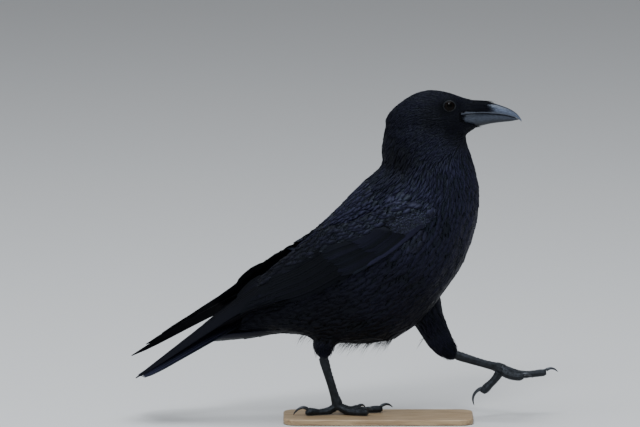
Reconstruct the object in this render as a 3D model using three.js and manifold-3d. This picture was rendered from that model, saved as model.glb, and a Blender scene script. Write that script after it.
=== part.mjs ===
// A carrion crow at life size, caught in mid stride: the right foot is flat on a low display
// base and the left one swings forward. Millimetres: +X is forward, +Y the bird's left, +Z up.
// While the bird's pieces are made, z = 0 is the ground and y = 0 the middle of its body.

import * as THREE from 'three';
import { mergeVertices } from 'three/addons/utils/BufferGeometryUtils.js';
import Module from 'manifold-3d';

const wasm = await Module();
wasm.setup();

// ---------------------------------------------------------------- driving dimensions

const GAP = 0.3; // clear space between neighbouring pieces
const SIDES = { body: 18, head: 16, limb: 10, toe: 8, claw: 6, bill: 8, wing: 5, eye: 12 };
const RINGS = { body: 22, head: 12, wing: 12, bill: 9, limb: 8, toe: 8, claw: 5, eye: 8 };

// Head, neck and trunk as one form. Each row is a slice across the body in side view:
// x and z of its back end, x and z of its front or belly end, and half its width.
const BODY = [
  [52, 304, 106, 301, 19],
  [38.8, 283, 121, 279, 28],
  [37, 261, 127.5, 258, 33],
  [38, 251.5, 131, 247, 36],
  [26.7, 242, 134, 234, 39.5],
  [11.8, 227.4, 135.3, 215.5, 43.5],
  [-4.8, 209.8, 132.6, 192.3, 46],
  [-22.8, 192.9, 126.4, 170, 47.5],
  [-40, 177.1, 118, 149.2, 47.5],
  [-56, 162.7, 105.7, 131.2, 46.5],
  [-69.5, 149, 92.5, 113, 45],
  [-80.5, 137, 75.5, 92.5, 42],
  [-88.5, 128, 49.5, 75, 38],
  [-95.5, 120, 20.5, 71.5, 34],
  [-102.5, 112, -6.5, 72.5, 29],
  [-108.5, 106, -29.5, 78.4, 24],
  [-114.5, 100, -54.5, 83.2, 19],
  [-124, 92, -89.5, 78.2, 13],
  [-135, 82, -130, 74.7, 4],
];

// The head from nape to bill: x, crown height, throat height, half width.
const HEAD = [
  [41.4, 297, 292, 2.5],
  [45.6, 304.7, 284, 11],
  [53.5, 312.5, 277, 17],
  [64.5, 320.5, 272, 21],
  [76.5, 326, 270.5, 23],
  [88.5, 327.5, 271.5, 23],
  [101.5, 325.5, 275, 21.2],
  [111.5, 322.3, 280, 18.2],
  [119, 319.4, 284.5, 14.8],
  [126.5, 318.2, 287.2, 12],
  [131, 317.8, 288.6, 10.8],
];
const HEAD_NARROWS_UP = 0.08; // how much narrower the crown is than the cheeks
const HEAD_FLATNESS = 0.8; // power of the head's oval: below 1 its sides are flatter
const BILL_FULLNESS = 0.8; // power of the bill's arch: below 1 its sides are fuller

// Upper and lower mandible: x, height of the cutting edge, height of the ridge, half width.
const UPPER_BILL = [
  [113.5, 303, 317.2, 9.8],
  [123.5, 304.5, 317, 9.5],
  [135.5, 305, 316, 8.4],
  [146.5, 304.5, 314.6, 7.1],
  [157.5, 303.3, 311.3, 5.6],
  [167, 301.2, 307.2, 3.9],
  [172.3, 299.3, 303.4, 2.6],
  [175, 297.4, 300.2, 1.6],
  [176.8, 295.4, 297.2, 0.6],
];
const LOWER_BILL = [
  [113.5, 302.6, 288.5, 9.3],
  [123.5, 304.1, 289, 8.9],
  [135.5, 304.6, 291, 7.8],
  [146.5, 304.1, 293.5, 6.4],
  [157.5, 302.9, 295, 4.9],
  [167, 300.8, 296, 3.2],
  [171.5, 299, 296.9, 2],
  [174, 297.9, 297.3, 0.8],
];

const EYE = { x: 104.5, y: 10.4, z: 312.6, radius: 8.5 };

// The folded wing on the right side, from the bend backwards: x, distance from the middle and
// height of its lower edge, then of its upper edge, then its bulge and its thickness.
const WING = [
  [91, 40.5, 211, 90.5, 40.5, 213.5, 0.6, 1],
  [87.5, 43.5, 204, 84, 41, 218.5, 3, 5],
  [79.5, 46, 195, 72, 43, 220.5, 5, 7],
  [64.5, 48, 183, 50.5, 43.5, 219.5, 6, 8],
  [43.5, 49, 167, 27.5, 42, 210.5, 7, 8],
  [19.5, 50, 152, 5.5, 38, 201, 7, 8],
  [-4.5, 49, 140, -18.7, 31, 194.1, 7, 7.5],
  [-22.5, 47, 129, -36.9, 24, 179.8, 7, 7],
  [-41.5, 44, 120.5, -54.9, 19, 165.8, 6.5, 6.5],
  [-69.5, 38, 114, -72.9, 14, 151.2, 6, 6],
  [-89.5, 32, 108.5, -90.7, 10, 134.5, 5, 5.5],
  [-110, 26, 98, -108, 8, 118, 3.5, 4.5],
];
const WING_EDGE = 1.2; // thickness along both edges
// Where the wing is divided, as its side view's upper and lower point.
const COVERT_CUT = [[-22, 205], [14, 135]];
const QUILL_CUT = [[-104.5, 140], [-106.5, 85]];

// The long outer quills, shortest first: x, distance from the middle and height of each tip.
const QUILL_TIPS = {
  right: [
    [-128.5, 12, 100.5],
    [-146, 12, 88],
    [-163, 12, 74],
    [-181, 12, 60],
    [-196, 12, 48.5],
    [-209, 12, 38.5],
  ],
  left: [
    [-128, 12, 112.6],
    [-148, 12, 100],
    [-166, 12.5, 90.6],
    [-183, 13, 80.4],
    [-199, 13, 69.3],
    [-213.5, 13, 57.8],
  ],
};
const QUILL_ROOT = { x: -92, y: 13, z: 126, yStep: 2.6, zStep: -2.1 };
const QUILL = { width: 12, thick: 1.6, tilt: 0.8, endShare: 0.55 };

// The outline of one long feather. The root's half width is a share of the feather's own. The
// front and back edges turn in at a distance from the tip, and bend towards a point nearer to it;
// both are shares of the width. The tip lies a little off the middle line.
const VANE = {
  rootShare: 0.8,
  front: { turn: 1.3, bend: 0.1, bendWide: 0.6 },
  back: { turn: 1.4, bend: 0.3, bendWide: 0.9 },
  tipOffset: 0.1,
};

// The left wing's rear half is held higher than the right one's: rise at the tip, where the
// rise begins, the length over which it grows, and how softly it begins.
const LEFT_WING_LIFT = { height: 21, from: -34.5, over: 75, softness: 1.3 };

// Tail: the middle and the outer feather's root and tip, with six feathers on each side.
const TAIL = {
  perSide: 6,
  width: 17,
  thick: 1.5,
  endShare: 1,
  middle: { root: [-98, 2, 109], tip: [-207, 3, 39.5] },
  outer: { root: [-98, 10, 98.6], tip: [-200, 21, 42.2] },
  tilt: 0.04,
  middleTiltShare: 0.2,
};

// Cuts that part head, neck, breast, belly and rump: back point and front point in side view.
const NECK_TOP = [[10, 285], [150, 279.5]];
const NECK_FOOT = [[10, 254], [160, 242.5]];
const BREAST_END = [[-24, 226], [118, 119]];
const RUMP_START = [[-100, 148], [-22, 62]];

// Legs: x, y, z along the middle of each piece, then half its depth and half its width.
const LEGS = {
  right: {
    thigh: [
      [14, -22, 128, 25, 17],
      [-2, -20, 106, 20, 15],
      [-13.4, -16, 88, 15.9, 13],
      [-20, -13, 76, 12.1, 10.5],
      [-20.8, -10.5, 68.5, 10.2, 8.6],
      [-20.8, -9.4, 63.5, 7.4, 6.4],
      [-21.1, -8.8, 59.4, 5.3, 4.6],
    ],
    shank: [
      [-21.2, -8.6, 58.6, 4.9, 4],
      [-20.1, -7.9, 54, 5, 3.8],
      [-17, -6, 43, 4.5, 3.1],
      [-13.3, -3.8, 31, 4.3, 2.9],
      [-10.2, -1.8, 20, 4.4, 3.2],
      [-7.8, -0.4, 12.5, 5.4, 4.6],
      [-6.4, 0.4, 8, 5.6, 5.8],
      [-6, 0.6, 4.4, 4, 4.6],
    ],
  },
  left: {
    thigh: [
      [50, 24, 150, 24, 18],
      [65, 26, 130, 22, 17],
      [77.8, 28, 110, 19.6, 15.5],
      [85.8, 27.5, 90.8, 15, 13],
      [94.3, 26, 74.4, 13.4, 11],
      [101.7, 25, 63.7, 10.7, 8.8],
      [108, 24.4, 58.4, 7.1, 6.2],
      [112.4, 24, 56.6, 5.1, 4.6],
    ],
    shank: [
      [113.2, 23.9, 56.3, 4.7, 4],
      [118, 22, 55, 4.8, 3.8],
      [130, 16.5, 51.9, 4.3, 3.1],
      [141, 11, 49.4, 4.1, 2.9],
      [149, 7, 47.8, 4.4, 3.3],
      [154.5, 4, 46.6, 5.6, 4.8],
      [158.5, 2.6, 44.6, 6.2, 6],
      [161.5, 2, 43.2, 4.8, 4.8],
    ],
  },
};

// Toes and their claws: x, y, z and the radius along the middle of each.
// The first toe points backwards, the second is the inner and the fourth the outer one.
const FEET = {
  right: {
    toe_1: [
      [-10, -0.4, 6.6, 4],
      [-16, -2.6, 3.65, 4],
      [-22, -4.6, 3.15, 3.5],
      [-27, -6.2, 2.85, 3.2],
      [-33, -8.2, 4.05, 4.4],
      [-36.6, -9.4, 3.35, 3.7],
      [-38.6, -10, 4.1, 2.4],
    ],
    toe_2: [
      [-3.6, 3, 6.4, 4],
      [2.6, 8.6, 3.55, 3.9],
      [8, 13.6, 3.05, 3.4],
      [12.6, 17.8, 3.45, 3.8],
      [15.5, 20.4, 3.8, 2.4],
    ],
    toe_3: [
      [-2.6, 1.6, 6.6, 4.3],
      [4, 3.6, 3.85, 4.2],
      [11, 5.8, 3.35, 3.7],
      [18, 8, 3.25, 3.6],
      [24, 9.8, 2.95, 3.3],
      [30, 11.6, 3.45, 3.8],
      [35.6, 13.4, 3.35, 3.7],
      [38.3, 14.2, 3.8, 2.4],
    ],
    toe_4: [
      [-3.6, -1.6, 6.4, 4],
      [3.6, -4.6, 3.65, 4],
      [10, -7, 3.25, 3.6],
      [15.4, -9, 3.05, 3.4],
      [20.4, -11, 3.45, 3.8],
      [23.8, -12.3, 3.9, 2.4],
    ],
    claw_1: [
      [-36.4, -9.4, 7, 2.2],
      [-41, -10.6, 9.2, 1.9],
      [-46, -11.6, 7.6, 1.4],
      [-49.8, -12.1, 3.8, 0.9],
      [-51, -12.3, 1.3, 0.35],
    ],
    claw_2: [
      [14, 19.2, 5.4, 1.9],
      [17, 22, 7, 1.6],
      [19.6, 24.6, 6, 1.1],
      [21.2, 26.4, 3.4, 0.35],
    ],
    claw_3: [
      [36.6, 13.8, 6.4, 2],
      [41, 15, 8.7, 1.7],
      [45.4, 16, 7.9, 1.2],
      [48.7, 16.8, 5, 0.35],
    ],
    claw_4: [
      [20.6, -11.2, 6.8, 1.9],
      [23.8, -12.6, 9, 1.6],
      [26.6, -13.8, 8.4, 1.1],
      [28.4, -14.6, 6, 0.35],
    ],
  },
  left: {
    toe_1: [
      [155, 1.8, 41, 4.6],
      [151.2, 1.4, 35.4, 4],
      [146.4, 1, 30.6, 4],
      [142, 0.8, 26.2, 4.7],
      [139.6, 0.6, 23.2, 3.9],
      [138.6, 0.6, 21.4, 2.2],
    ],
    toe_2: [
      [158.6, -1.6, 43, 4.3],
      [165, -4.2, 40, 4.1],
      [171, -5.4, 38.6, 3.8],
      [176, -6, 38.5, 3.9],
      [179.6, -6.2, 39.2, 2.3],
    ],
    toe_3: [
      [160, 2, 44.6, 5.2],
      [167, 1.6, 42.4, 4.6],
      [174.5, 1.3, 40.6, 4.1],
      [182, 1.1, 40.2, 3.7],
      [189, 1, 40.6, 3.5],
      [195, 0.9, 41.5, 3.8],
      [200, 0.9, 42, 3.6],
      [202.6, 0.9, 42.4, 2.3],
    ],
    toe_4: [
      [158.6, 5, 42.8, 4.2],
      [165, 7.6, 40, 4],
      [172, 8.8, 38.6, 3.6],
      [178.5, 9.4, 38.4, 3.4],
      [184, 9.7, 38.8, 3.7],
      [187.4, 9.8, 39.5, 2.3],
    ],
    claw_1: [
      [138, 0.6, 26.8, 2.3],
      [132.8, 0.5, 24.2, 2],
      [129.1, 0.4, 19.2, 1.6],
      [128.7, 0.3, 14, 1.1],
      [130.1, 0.3, 9.3, 0.35],
    ],
    claw_2: [
      [178, -6.2, 41, 1.9],
      [182.4, -6.6, 42.4, 1.6],
      [186.2, -6.9, 41, 1.1],
      [188.6, -7, 37.8, 0.35],
    ],
    claw_3: [
      [201, 0.9, 44.2, 2],
      [205.6, 0.9, 46.8, 1.7],
      [210.4, 0.9, 46.2, 1.2],
      [214, 0.9, 43.2, 0.35],
    ],
    claw_4: [
      [185.8, 9.8, 41, 1.9],
      [190, 10, 42.4, 1.6],
      [193.6, 10.1, 41, 1.1],
      [196, 10.2, 37.8, 0.35],
    ],
  },
};

// The base under the standing foot; its middle is below the bird's centre of mass.
const BASE = { length: 190, width: 80, height: 6, corner: 14, chamfer: 1, middleX: 34 };

const FEATHER = { color: 0x0b0c11, roughness: 0.6, metalness: 0 };
const BILL_HORN = { color: 0x17191c, roughness: 0.35, metalness: 0 };
const LEG_SKIN = { color: 0x1d1f22, roughness: 0.5, metalness: 0 };
const CLAW_HORN = { color: 0x121315, roughness: 0.35, metalness: 0 };
const EYE_BROWN = { color: 0x0c0806, roughness: 0.05, metalness: 0 };
const BASE_OAK = { color: 0xb09a78, roughness: 0.5, metalness: 0 };

// ---------------------------------------------------------------- curves and skins

// A smooth curve through rows of numbers, read at t from 0 to 1.
function smooth(rows) {
  const times = rows.map((row, index) => index / (rows.length - 1));
  const curve = new THREE.CubicInterpolant(times, rows.flat(), rows[0].length);
  return (t) => Array.from(curve.evaluate(t));
}

// Rings of points made at even steps along a curve through the rows.
function ringsAlong(rows, count, ringAt) {
  const curve = smooth(rows);
  const rings = [];
  for (let i = 0; i < count; i += 1) {
    rings.push(ringAt(curve(i / (count - 1))));
  }
  return rings;
}

// An oval of points round a centre. egg makes its upper end narrower than its lower one, and a
// flatness below 1 makes its two sides flatter.
function oval(centre, tall, wide, sides, egg = 0, flatness = 1) {
  const points = [];
  for (let i = 0; i < sides; i += 1) {
    const angle = (2 * Math.PI * i) / sides;
    const up = Math.cos(angle);
    const sideways = Math.sin(angle);
    const out = Math.sign(sideways) * Math.abs(sideways) ** flatness * (1 - egg * up);
    points.push(centre.clone().addScaledVector(tall, up).addScaledVector(wide, out));
  }
  return points;
}

function middleOf(points) {
  const sum = new THREE.Vector3();
  points.forEach((point) => sum.add(point));
  return sum.divideScalar(points.length);
}

// One closed skin over rings of equally many points, with a flat end at each end ring.
function skinOver(rings) {
  const sides = rings[0].length;
  const points = rings.flat();
  const last = (rings.length - 1) * sides;
  const faces = [];
  for (let r = 0; r < last; r += sides) {
    for (let s = 0; s < sides; s += 1) {
      const next = (s + 1) % sides;
      faces.push(r + s, r + next, r + sides + s);
      faces.push(r + next, r + sides + next, r + sides + s);
    }
  }
  const firstMiddle = points.push(middleOf(rings[0])) - 1;
  const lastMiddle = points.push(middleOf(rings.at(-1))) - 1;
  for (let s = 0; s < sides; s += 1) {
    const next = (s + 1) % sides;
    faces.push(firstMiddle, next, s);
    faces.push(lastMiddle, last + s, last + next);
  }
  const geometry = new THREE.BufferGeometry().setFromPoints(points);
  geometry.setIndex(faces);
  return geometry;
}

// ---------------------------------------------------------------- joining and cutting

function signedVolume(positions, faces) {
  const [a, b, c] = [new THREE.Vector3(), new THREE.Vector3(), new THREE.Vector3()];
  let sum = 0;
  for (let i = 0; i < faces.length; i += 3) {
    a.fromArray(positions, 3 * faces[i]);
    b.fromArray(positions, 3 * faces[i + 1]);
    c.fromArray(positions, 3 * faces[i + 2]);
    sum += a.dot(b.cross(c));
  }
  return sum / 6;
}

// A geometry as a solid, with its faces turned outwards if they point inwards.
function solid(geometry) {
  geometry.deleteAttribute('normal');
  geometry.deleteAttribute('uv');
  const merged = mergeVertices(geometry, 1e-4);
  const vertProperties = new Float32Array(merged.attributes.position.array);
  const triVerts = new Uint32Array(merged.index.array);
  if (signedVolume(vertProperties, triVerts) < 0) {
    triVerts.reverse();
  }
  return new wasm.Manifold(new wasm.Mesh({ numProp: 3, vertProperties, triVerts }));
}

function joined(solids) {
  return solids.reduce((whole, piece) => whole.add(piece));
}

function carved(block, cutters) {
  return cutters.reduce((rest, cutter) => rest.subtract(cutter), block);
}

// The largest connected piece of a solid, which drops slivers left by a cut.
function mainPiece(block) {
  const pieces = block.decompose();
  return pieces.reduce((best, piece) => (piece.volume() > best.volume() ? piece : best));
}

const REACH = 400; // longer than the bird in any direction

// Everything on one side of a straight cut in side view, as a thick block.
// side +1 keeps what is ahead of or above the line from start to end, and -1 the other side.
function sideOf([start, end], side) {
  const from = new THREE.Vector2(...start);
  const along = new THREE.Vector2(...end).sub(from).normalize();
  const away = new THREE.Vector2(-along.y, along.x).multiplyScalar(side);
  const near = from.clone().addScaledVector(away, GAP / 2);
  const corners = [
    near.clone().addScaledVector(along, -REACH),
    near.clone().addScaledVector(along, REACH),
    near.clone().addScaledVector(along, REACH).addScaledVector(away, REACH),
    near.clone().addScaledVector(along, -REACH).addScaledVector(away, REACH),
  ];
  const block = new THREE.ExtrudeGeometry(new THREE.Shape(corners), {
    depth: REACH,
    bevelEnabled: false,
  });
  block.translate(0, 0, -REACH / 2);
  block.rotateX(Math.PI / 2);
  return solid(block);
}

// ---------------------------------------------------------------- head, neck and trunk

function bodyForm(grow = 0) {
  const ringAt = ([backX, backZ, frontX, frontZ, halfWidth]) => {
    const back = new THREE.Vector3(backX, 0, backZ);
    const front = new THREE.Vector3(frontX, 0, frontZ);
    const tall = back.clone().sub(front).divideScalar(2);
    tall.setLength(tall.length() + grow);
    const wide = new THREE.Vector3(0, halfWidth + grow, 0);
    return oval(back.add(front).divideScalar(2), tall, wide, SIDES.body);
  };
  return solid(skinOver(ringsAlong(BODY, RINGS.body, ringAt)));
}

function headForm() {
  const ringAt = ([x, crown, throat, halfWidth]) => {
    const centre = new THREE.Vector3(x, 0, (crown + throat) / 2);
    const tall = new THREE.Vector3(0, 0, (crown - throat) / 2);
    const wide = new THREE.Vector3(0, halfWidth, 0);
    return oval(centre, tall, wide, SIDES.head, HEAD_NARROWS_UP, HEAD_FLATNESS);
  };
  return solid(skinOver(ringsAlong(HEAD, RINGS.head, ringAt)));
}

// ---------------------------------------------------------------- bill and eyes

// Half a bill: an arch from cutting edge to cutting edge over the ridge, closed by a flat.
function mandible(rows, grow = 0) {
  const ringAt = ([x, edge, ridge, halfWidth]) => {
    const outward = Math.sign(ridge - edge);
    const points = [];
    for (let i = 0; i <= SIDES.bill; i += 1) {
      const angle = Math.PI * (i / SIDES.bill - 0.5);
      const rise = (ridge - edge + 2 * grow * outward) * Math.cos(angle) ** BILL_FULLNESS;
      const y = (halfWidth + grow) * Math.sin(angle);
      points.push(new THREE.Vector3(x, y, edge - grow * outward + rise));
    }
    return points;
  };
  return solid(skinOver(ringsAlong(rows, RINGS.bill, ringAt)));
}

function eyeball(side, grow = 0) {
  const ball = new THREE.SphereGeometry(EYE.radius + grow, SIDES.eye, RINGS.eye);
  ball.translate(EYE.x, side * EYE.y, EYE.z);
  return solid(ball);
}

// ---------------------------------------------------------------- wings and tail

// Side is -1 for the right wing and +1 for the left one.
function liftOf(side, x) {
  const { height, from, over, softness } = LEFT_WING_LIFT;
  const behind = Math.max(0, from - x) / over;
  return side > 0 ? height * (1 - Math.exp(-(behind ** softness))) : 0;
}

function wingForm(side, grow = 0) {
  const ringAt = ([lowX, lowY, lowZ, highX, highY, highZ, bulge, thick]) => {
    const low = new THREE.Vector3(lowX, lowY, lowZ);
    const high = new THREE.Vector3(highX, highY, highZ);
    const chord = high.clone().sub(low);
    const outward = new THREE.Vector3(0, chord.z, -chord.y).normalize();
    low.addScaledVector(chord, -grow / chord.length());
    high.addScaledVector(chord, grow / chord.length());
    const pointAt = (step, offset) => {
      const share = step / SIDES.wing;
      const swell = offset * Math.sin(Math.PI * share);
      return low.clone().lerp(high, share).addScaledVector(outward, swell);
    };
    const edge = WING_EDGE / 2 + grow;
    const points = [];
    for (let i = 0; i <= SIDES.wing; i += 1) {
      points.push(pointAt(i, bulge).addScaledVector(outward, edge));
    }
    for (let i = SIDES.wing; i >= 0; i -= 1) {
      points.push(pointAt(i, bulge - thick).addScaledVector(outward, -edge));
    }
    points.forEach((point) => {
      point.z += liftOf(side, point.x);
      point.y *= side;
    });
    return points;
  };
  return solid(skinOver(ringsAlong(WING, RINGS.wing, ringAt)));
}

// A flat long feather from root to tip, rounded at the tip; facing is the way its flat looks.
function feather(root, tip, facing, size, grow = 0) {
  const from = new THREE.Vector3(...root);
  const along = new THREE.Vector3(...tip).sub(from);
  const length = along.length() + 2 * grow;
  const width = size.width + 2 * grow;
  const thick = size.thick + 2 * grow;
  const half = width / 2;
  along.normalize();
  from.addScaledVector(along, -grow);
  const end = half * size.endShare;
  const { rootShare, front, back, tipOffset } = VANE;
  const frontBend = [length - front.bend * width, -front.bendWide * end];
  const backBend = [length - back.bend * width, back.bendWide * end];
  const outline = new THREE.Shape();
  outline.moveTo(0, -rootShare * half);
  outline.lineTo(length - front.turn * width, -end);
  outline.quadraticCurveTo(...frontBend, length, tipOffset * end);
  outline.quadraticCurveTo(...backBend, length - back.turn * width, end);
  outline.lineTo(0, rootShare * half);
  const blade = new THREE.ExtrudeGeometry(outline, {
    depth: thick,
    bevelEnabled: false,
    curveSegments: 2,
  });
  blade.translate(0, 0, -thick / 2);
  const across = new THREE.Vector3().crossVectors(facing, along).normalize();
  const up = new THREE.Vector3().crossVectors(along, across);
  blade.applyMatrix4(new THREE.Matrix4().makeBasis(along, across, up).setPosition(from));
  return blade;
}

// The long quills behind the folded wing, each a little shorter than the one under it.
function quillFan(name, side) {
  const facing = new THREE.Vector3(0, side * Math.cos(QUILL.tilt), Math.sin(QUILL.tilt));
  const rootLift = liftOf(side, QUILL_ROOT.x);
  const quills = QUILL_TIPS[name].map(([tipX, tipY, tipZ], order) => {
    const root = [
      QUILL_ROOT.x,
      side * (QUILL_ROOT.y + QUILL_ROOT.yStep * order),
      QUILL_ROOT.z + QUILL_ROOT.zStep * order + rootLift,
    ];
    return solid(feather(root, [tipX, side * tipY, tipZ], facing, QUILL));
  });
  return joined(quills);
}

function mix(a, b, share) {
  return a.map((value, i) => value + share * (b[i] - value));
}

// The folded tail: the middle feathers lie on top and the outer ones slope down and outwards.
function tailFan(grow = 0) {
  const feathers = [];
  for (const side of [-1, 1]) {
    for (let i = 0; i < TAIL.perSide; i += 1) {
      const share = i / (TAIL.perSide - 1);
      const root = mix(TAIL.middle.root, TAIL.outer.root, share);
      const tip = mix(TAIL.middle.tip, TAIL.outer.tip, share);
      root[1] *= side;
      tip[1] *= side;
      const tilt = side * mix([TAIL.middleTiltShare * TAIL.tilt], [TAIL.tilt], share)[0];
      const facing = new THREE.Vector3(0, Math.sin(tilt), Math.cos(tilt));
      feathers.push(solid(feather(root, tip, facing, TAIL, grow)));
    }
  }
  return joined(feathers);
}

// ---------------------------------------------------------------- legs and feet

const LOOK_AHEAD = 0.02; // share of a limb's path over which its direction is taken

// A round limb along a path; flatSole holds it above the floor.
function limb(rows, sides, count, { grow = 0, flatSole = false } = {}) {
  const curve = smooth(rows);
  const rings = [];
  for (let i = 0; i < count; i += 1) {
    const t = i / (count - 1);
    const [x, y, z, halfDepth, halfWidth = halfDepth] = curve(t);
    const [beforeX, beforeY, beforeZ] = curve(Math.max(0, t - LOOK_AHEAD));
    const [afterX, afterY, afterZ] = curve(Math.min(1, t + LOOK_AHEAD));
    const along = new THREE.Vector3(afterX - beforeX, afterY - beforeY, afterZ - beforeZ);
    const tall = along.clone().cross(new THREE.Vector3(0, 1, 0)).setLength(halfDepth + grow);
    if (Math.abs(along.y) > Math.abs(along.x) && Math.abs(along.y) > Math.abs(along.z)) {
      tall.set(0, 0, halfDepth + grow);
    }
    const wide = along.clone().cross(tall).setLength(halfWidth + grow);
    const centre = new THREE.Vector3(x, y, z);
    const isEnd = i === 0 || i === count - 1;
    if (isEnd) {
      centre.addScaledVector(along.normalize(), i === 0 ? -grow : grow);
    }
    const ring = oval(centre, tall, wide, sides);
    if (flatSole) {
      ring.forEach((point) => {
        point.z = Math.max(0, point.z);
      });
    }
    rings.push(ring);
  }
  return solid(skinOver(rings));
}

// One foot: each toe keeps clear of the shank's ball and of the toes made before it.
function footPieces(side, shank) {
  const onGround = side === 'right';
  const foot = FEET[side];
  const taken = [shank(GAP)];
  const pieces = {};
  for (const toe of ['toe_3', 'toe_1', 'toe_2', 'toe_4']) {
    const shape = (grow) =>
      limb(foot[toe], SIDES.toe, RINGS.toe, { grow, flatSole: onGround });
    pieces[toe] = mainPiece(carved(shape(0), taken));
    taken.push(shape(GAP));
  }
  for (const number of [1, 2, 3, 4]) {
    const claw = limb(foot[`claw_${number}`], SIDES.claw, RINGS.claw);
    pieces[`claw_${number}`] = mainPiece(carved(claw, taken));
  }
  return pieces;
}

// ---------------------------------------------------------------- the whole model

const bird = new THREE.Group();

function named(name, geometry, finish) {
  const mesh = new THREE.Mesh(geometry, new THREE.MeshStandardMaterial(finish));
  mesh.name = name;
  return mesh;
}

function place(name, block, finish) {
  const { vertProperties, triVerts } = block.getMesh();
  const geometry = new THREE.BufferGeometry();
  geometry.setAttribute('position', new THREE.BufferAttribute(vertProperties, 3));
  geometry.setIndex(new THREE.BufferAttribute(triVerts, 1));
  bird.add(named(name, geometry, finish));
}

function addHeadAndTrunk() {
  const bill = [mandible(UPPER_BILL, GAP), mandible(LOWER_BILL, GAP)];
  const sockets = [eyeball(-1, GAP), eyeball(1, GAP)];
  const beds = [wingForm(-1, GAP), wingForm(1, GAP), tailFan(GAP)];
  const whole = carved(bodyForm().add(headForm()), [...bill, ...sockets, ...beds]);
  const cuts = [NECK_TOP, NECK_FOOT, BREAST_END, RUMP_START];
  const names = ['head', 'neck', 'breast', 'belly', 'rump'];
  names.forEach((name, i) => {
    let piece = whole;
    if (i > 0) {
      piece = piece.intersect(sideOf(cuts[i - 1], -1));
    }
    if (i < cuts.length) {
      piece = piece.intersect(sideOf(cuts[i], 1));
    }
    place(name, mainPiece(piece), FEATHER);
  });
}

function addBillAndEyes() {
  place('bill_upper', mandible(UPPER_BILL), BILL_HORN);
  place('bill_lower', mandible(LOWER_BILL), BILL_HORN);
  place('eye_right', eyeball(-1), EYE_BROWN);
  place('eye_left', eyeball(1), EYE_BROWN);
}

function addWing(name, side) {
  const wing = wingForm(side);
  const quills = carved(quillFan(name, side), [tailFan(GAP)]);
  const ahead = wing.intersect(sideOf(COVERT_CUT, 1));
  const behind = wing.intersect(sideOf(COVERT_CUT, -1)).intersect(sideOf(QUILL_CUT, 1));
  place(`wing_${name}_coverts`, mainPiece(ahead), FEATHER);
  place(`wing_${name}_secondaries`, mainPiece(behind), FEATHER);
  place(`wing_${name}_primaries`, mainPiece(quills.intersect(sideOf(QUILL_CUT, -1))), FEATHER);
}

function addLeg(side) {
  const { thigh, shank } = LEGS[side];
  const flatSole = side === 'right';
  const shankForm = (grow) => limb(shank, SIDES.limb, RINGS.limb, { grow, flatSole });
  const thighForm = limb(thigh, SIDES.limb, RINGS.limb);
  const around = [bodyForm(GAP), shankForm(GAP)];
  place(`thigh_${side}`, mainPiece(carved(thighForm, around)), FEATHER);
  place(`shank_${side}`, shankForm(0), LEG_SKIN);
  for (const [piece, block] of Object.entries(footPieces(side, shankForm))) {
    place(`${piece}_${side}`, block, piece.startsWith('claw') ? CLAW_HORN : LEG_SKIN);
  }
}

// A low plate with round corners and chamfered edges, its underside at z = 0.
function basePlate() {
  const { length, width, height, corner, chamfer, middleX } = BASE;
  const [x, y] = [length / 2 - chamfer, width / 2 - chamfer];
  const outline = new THREE.Shape();
  outline.absarc(x - corner, y - corner, corner, 0, Math.PI / 2);
  outline.absarc(corner - x, y - corner, corner, Math.PI / 2, Math.PI);
  outline.absarc(corner - x, corner - y, corner, Math.PI, 1.5 * Math.PI);
  outline.absarc(x - corner, corner - y, corner, 1.5 * Math.PI, 2 * Math.PI);
  const plate = new THREE.ExtrudeGeometry(outline, {
    depth: height - 2 * chamfer,
    bevelThickness: chamfer,
    bevelSize: chamfer,
    bevelSegments: 1,
    curveSegments: 3,
  });
  plate.translate(middleX, 0, chamfer);
  return plate;
}

addHeadAndTrunk();
addBillAndEyes();
place('tail', tailFan(), FEATHER);
addWing('right', -1);
addWing('left', 1);
addLeg('right');
addLeg('left');
bird.position.z = BASE.height;

const model = new THREE.Group();
model.add(bird, named('stand_base', basePlate(), BASE_OAK));

// The origin goes to the middle of the whole outline, on the floor.
const middle = new THREE.Box3().setFromObject(model).getCenter(new THREE.Vector3());
model.position.set(-middle.x, -middle.y, 0);

export default model;
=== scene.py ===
import math

import bmesh
import bpy
import numpy as np
from mathutils import Matrix, Vector
from mathutils.bvhtree import BVHTree


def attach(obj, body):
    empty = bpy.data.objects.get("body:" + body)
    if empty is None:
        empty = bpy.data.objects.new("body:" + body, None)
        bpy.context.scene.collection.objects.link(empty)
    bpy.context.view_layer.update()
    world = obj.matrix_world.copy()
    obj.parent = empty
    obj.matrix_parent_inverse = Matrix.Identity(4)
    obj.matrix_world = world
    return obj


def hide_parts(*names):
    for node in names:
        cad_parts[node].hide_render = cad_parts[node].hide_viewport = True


bl_info = {
    "name": "Carrion crow in mid-stride",
    "version": (1, 0, 0),
    "blender": (4, 5, 0),
    "location": "View3D > Sidebar > Crow",
    "description": "Builds the skin, plumage, bill, eyes, legs and base of a life-size crow",
    "category": "Object",
}

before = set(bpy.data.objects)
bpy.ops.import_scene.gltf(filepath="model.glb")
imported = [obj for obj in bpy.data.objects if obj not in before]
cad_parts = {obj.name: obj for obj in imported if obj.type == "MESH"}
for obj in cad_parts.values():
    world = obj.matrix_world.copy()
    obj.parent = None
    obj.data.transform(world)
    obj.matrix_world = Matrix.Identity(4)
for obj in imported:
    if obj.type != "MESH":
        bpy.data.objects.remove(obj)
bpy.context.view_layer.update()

MM = 0.001
# The base's top, on which the soles stand, in millimetres over the origin.
BASE_HEIGHT = 6.0
# Points nearer to each other than this are welded: in a new mesh, and where nodes are merged.
SAME_PLACE = 0.001 * MM
NODE_SEAM = 0.02 * MM
SIDES = {"right": -1, "left": 1}
TOES = (1, 2, 3, 4)

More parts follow.
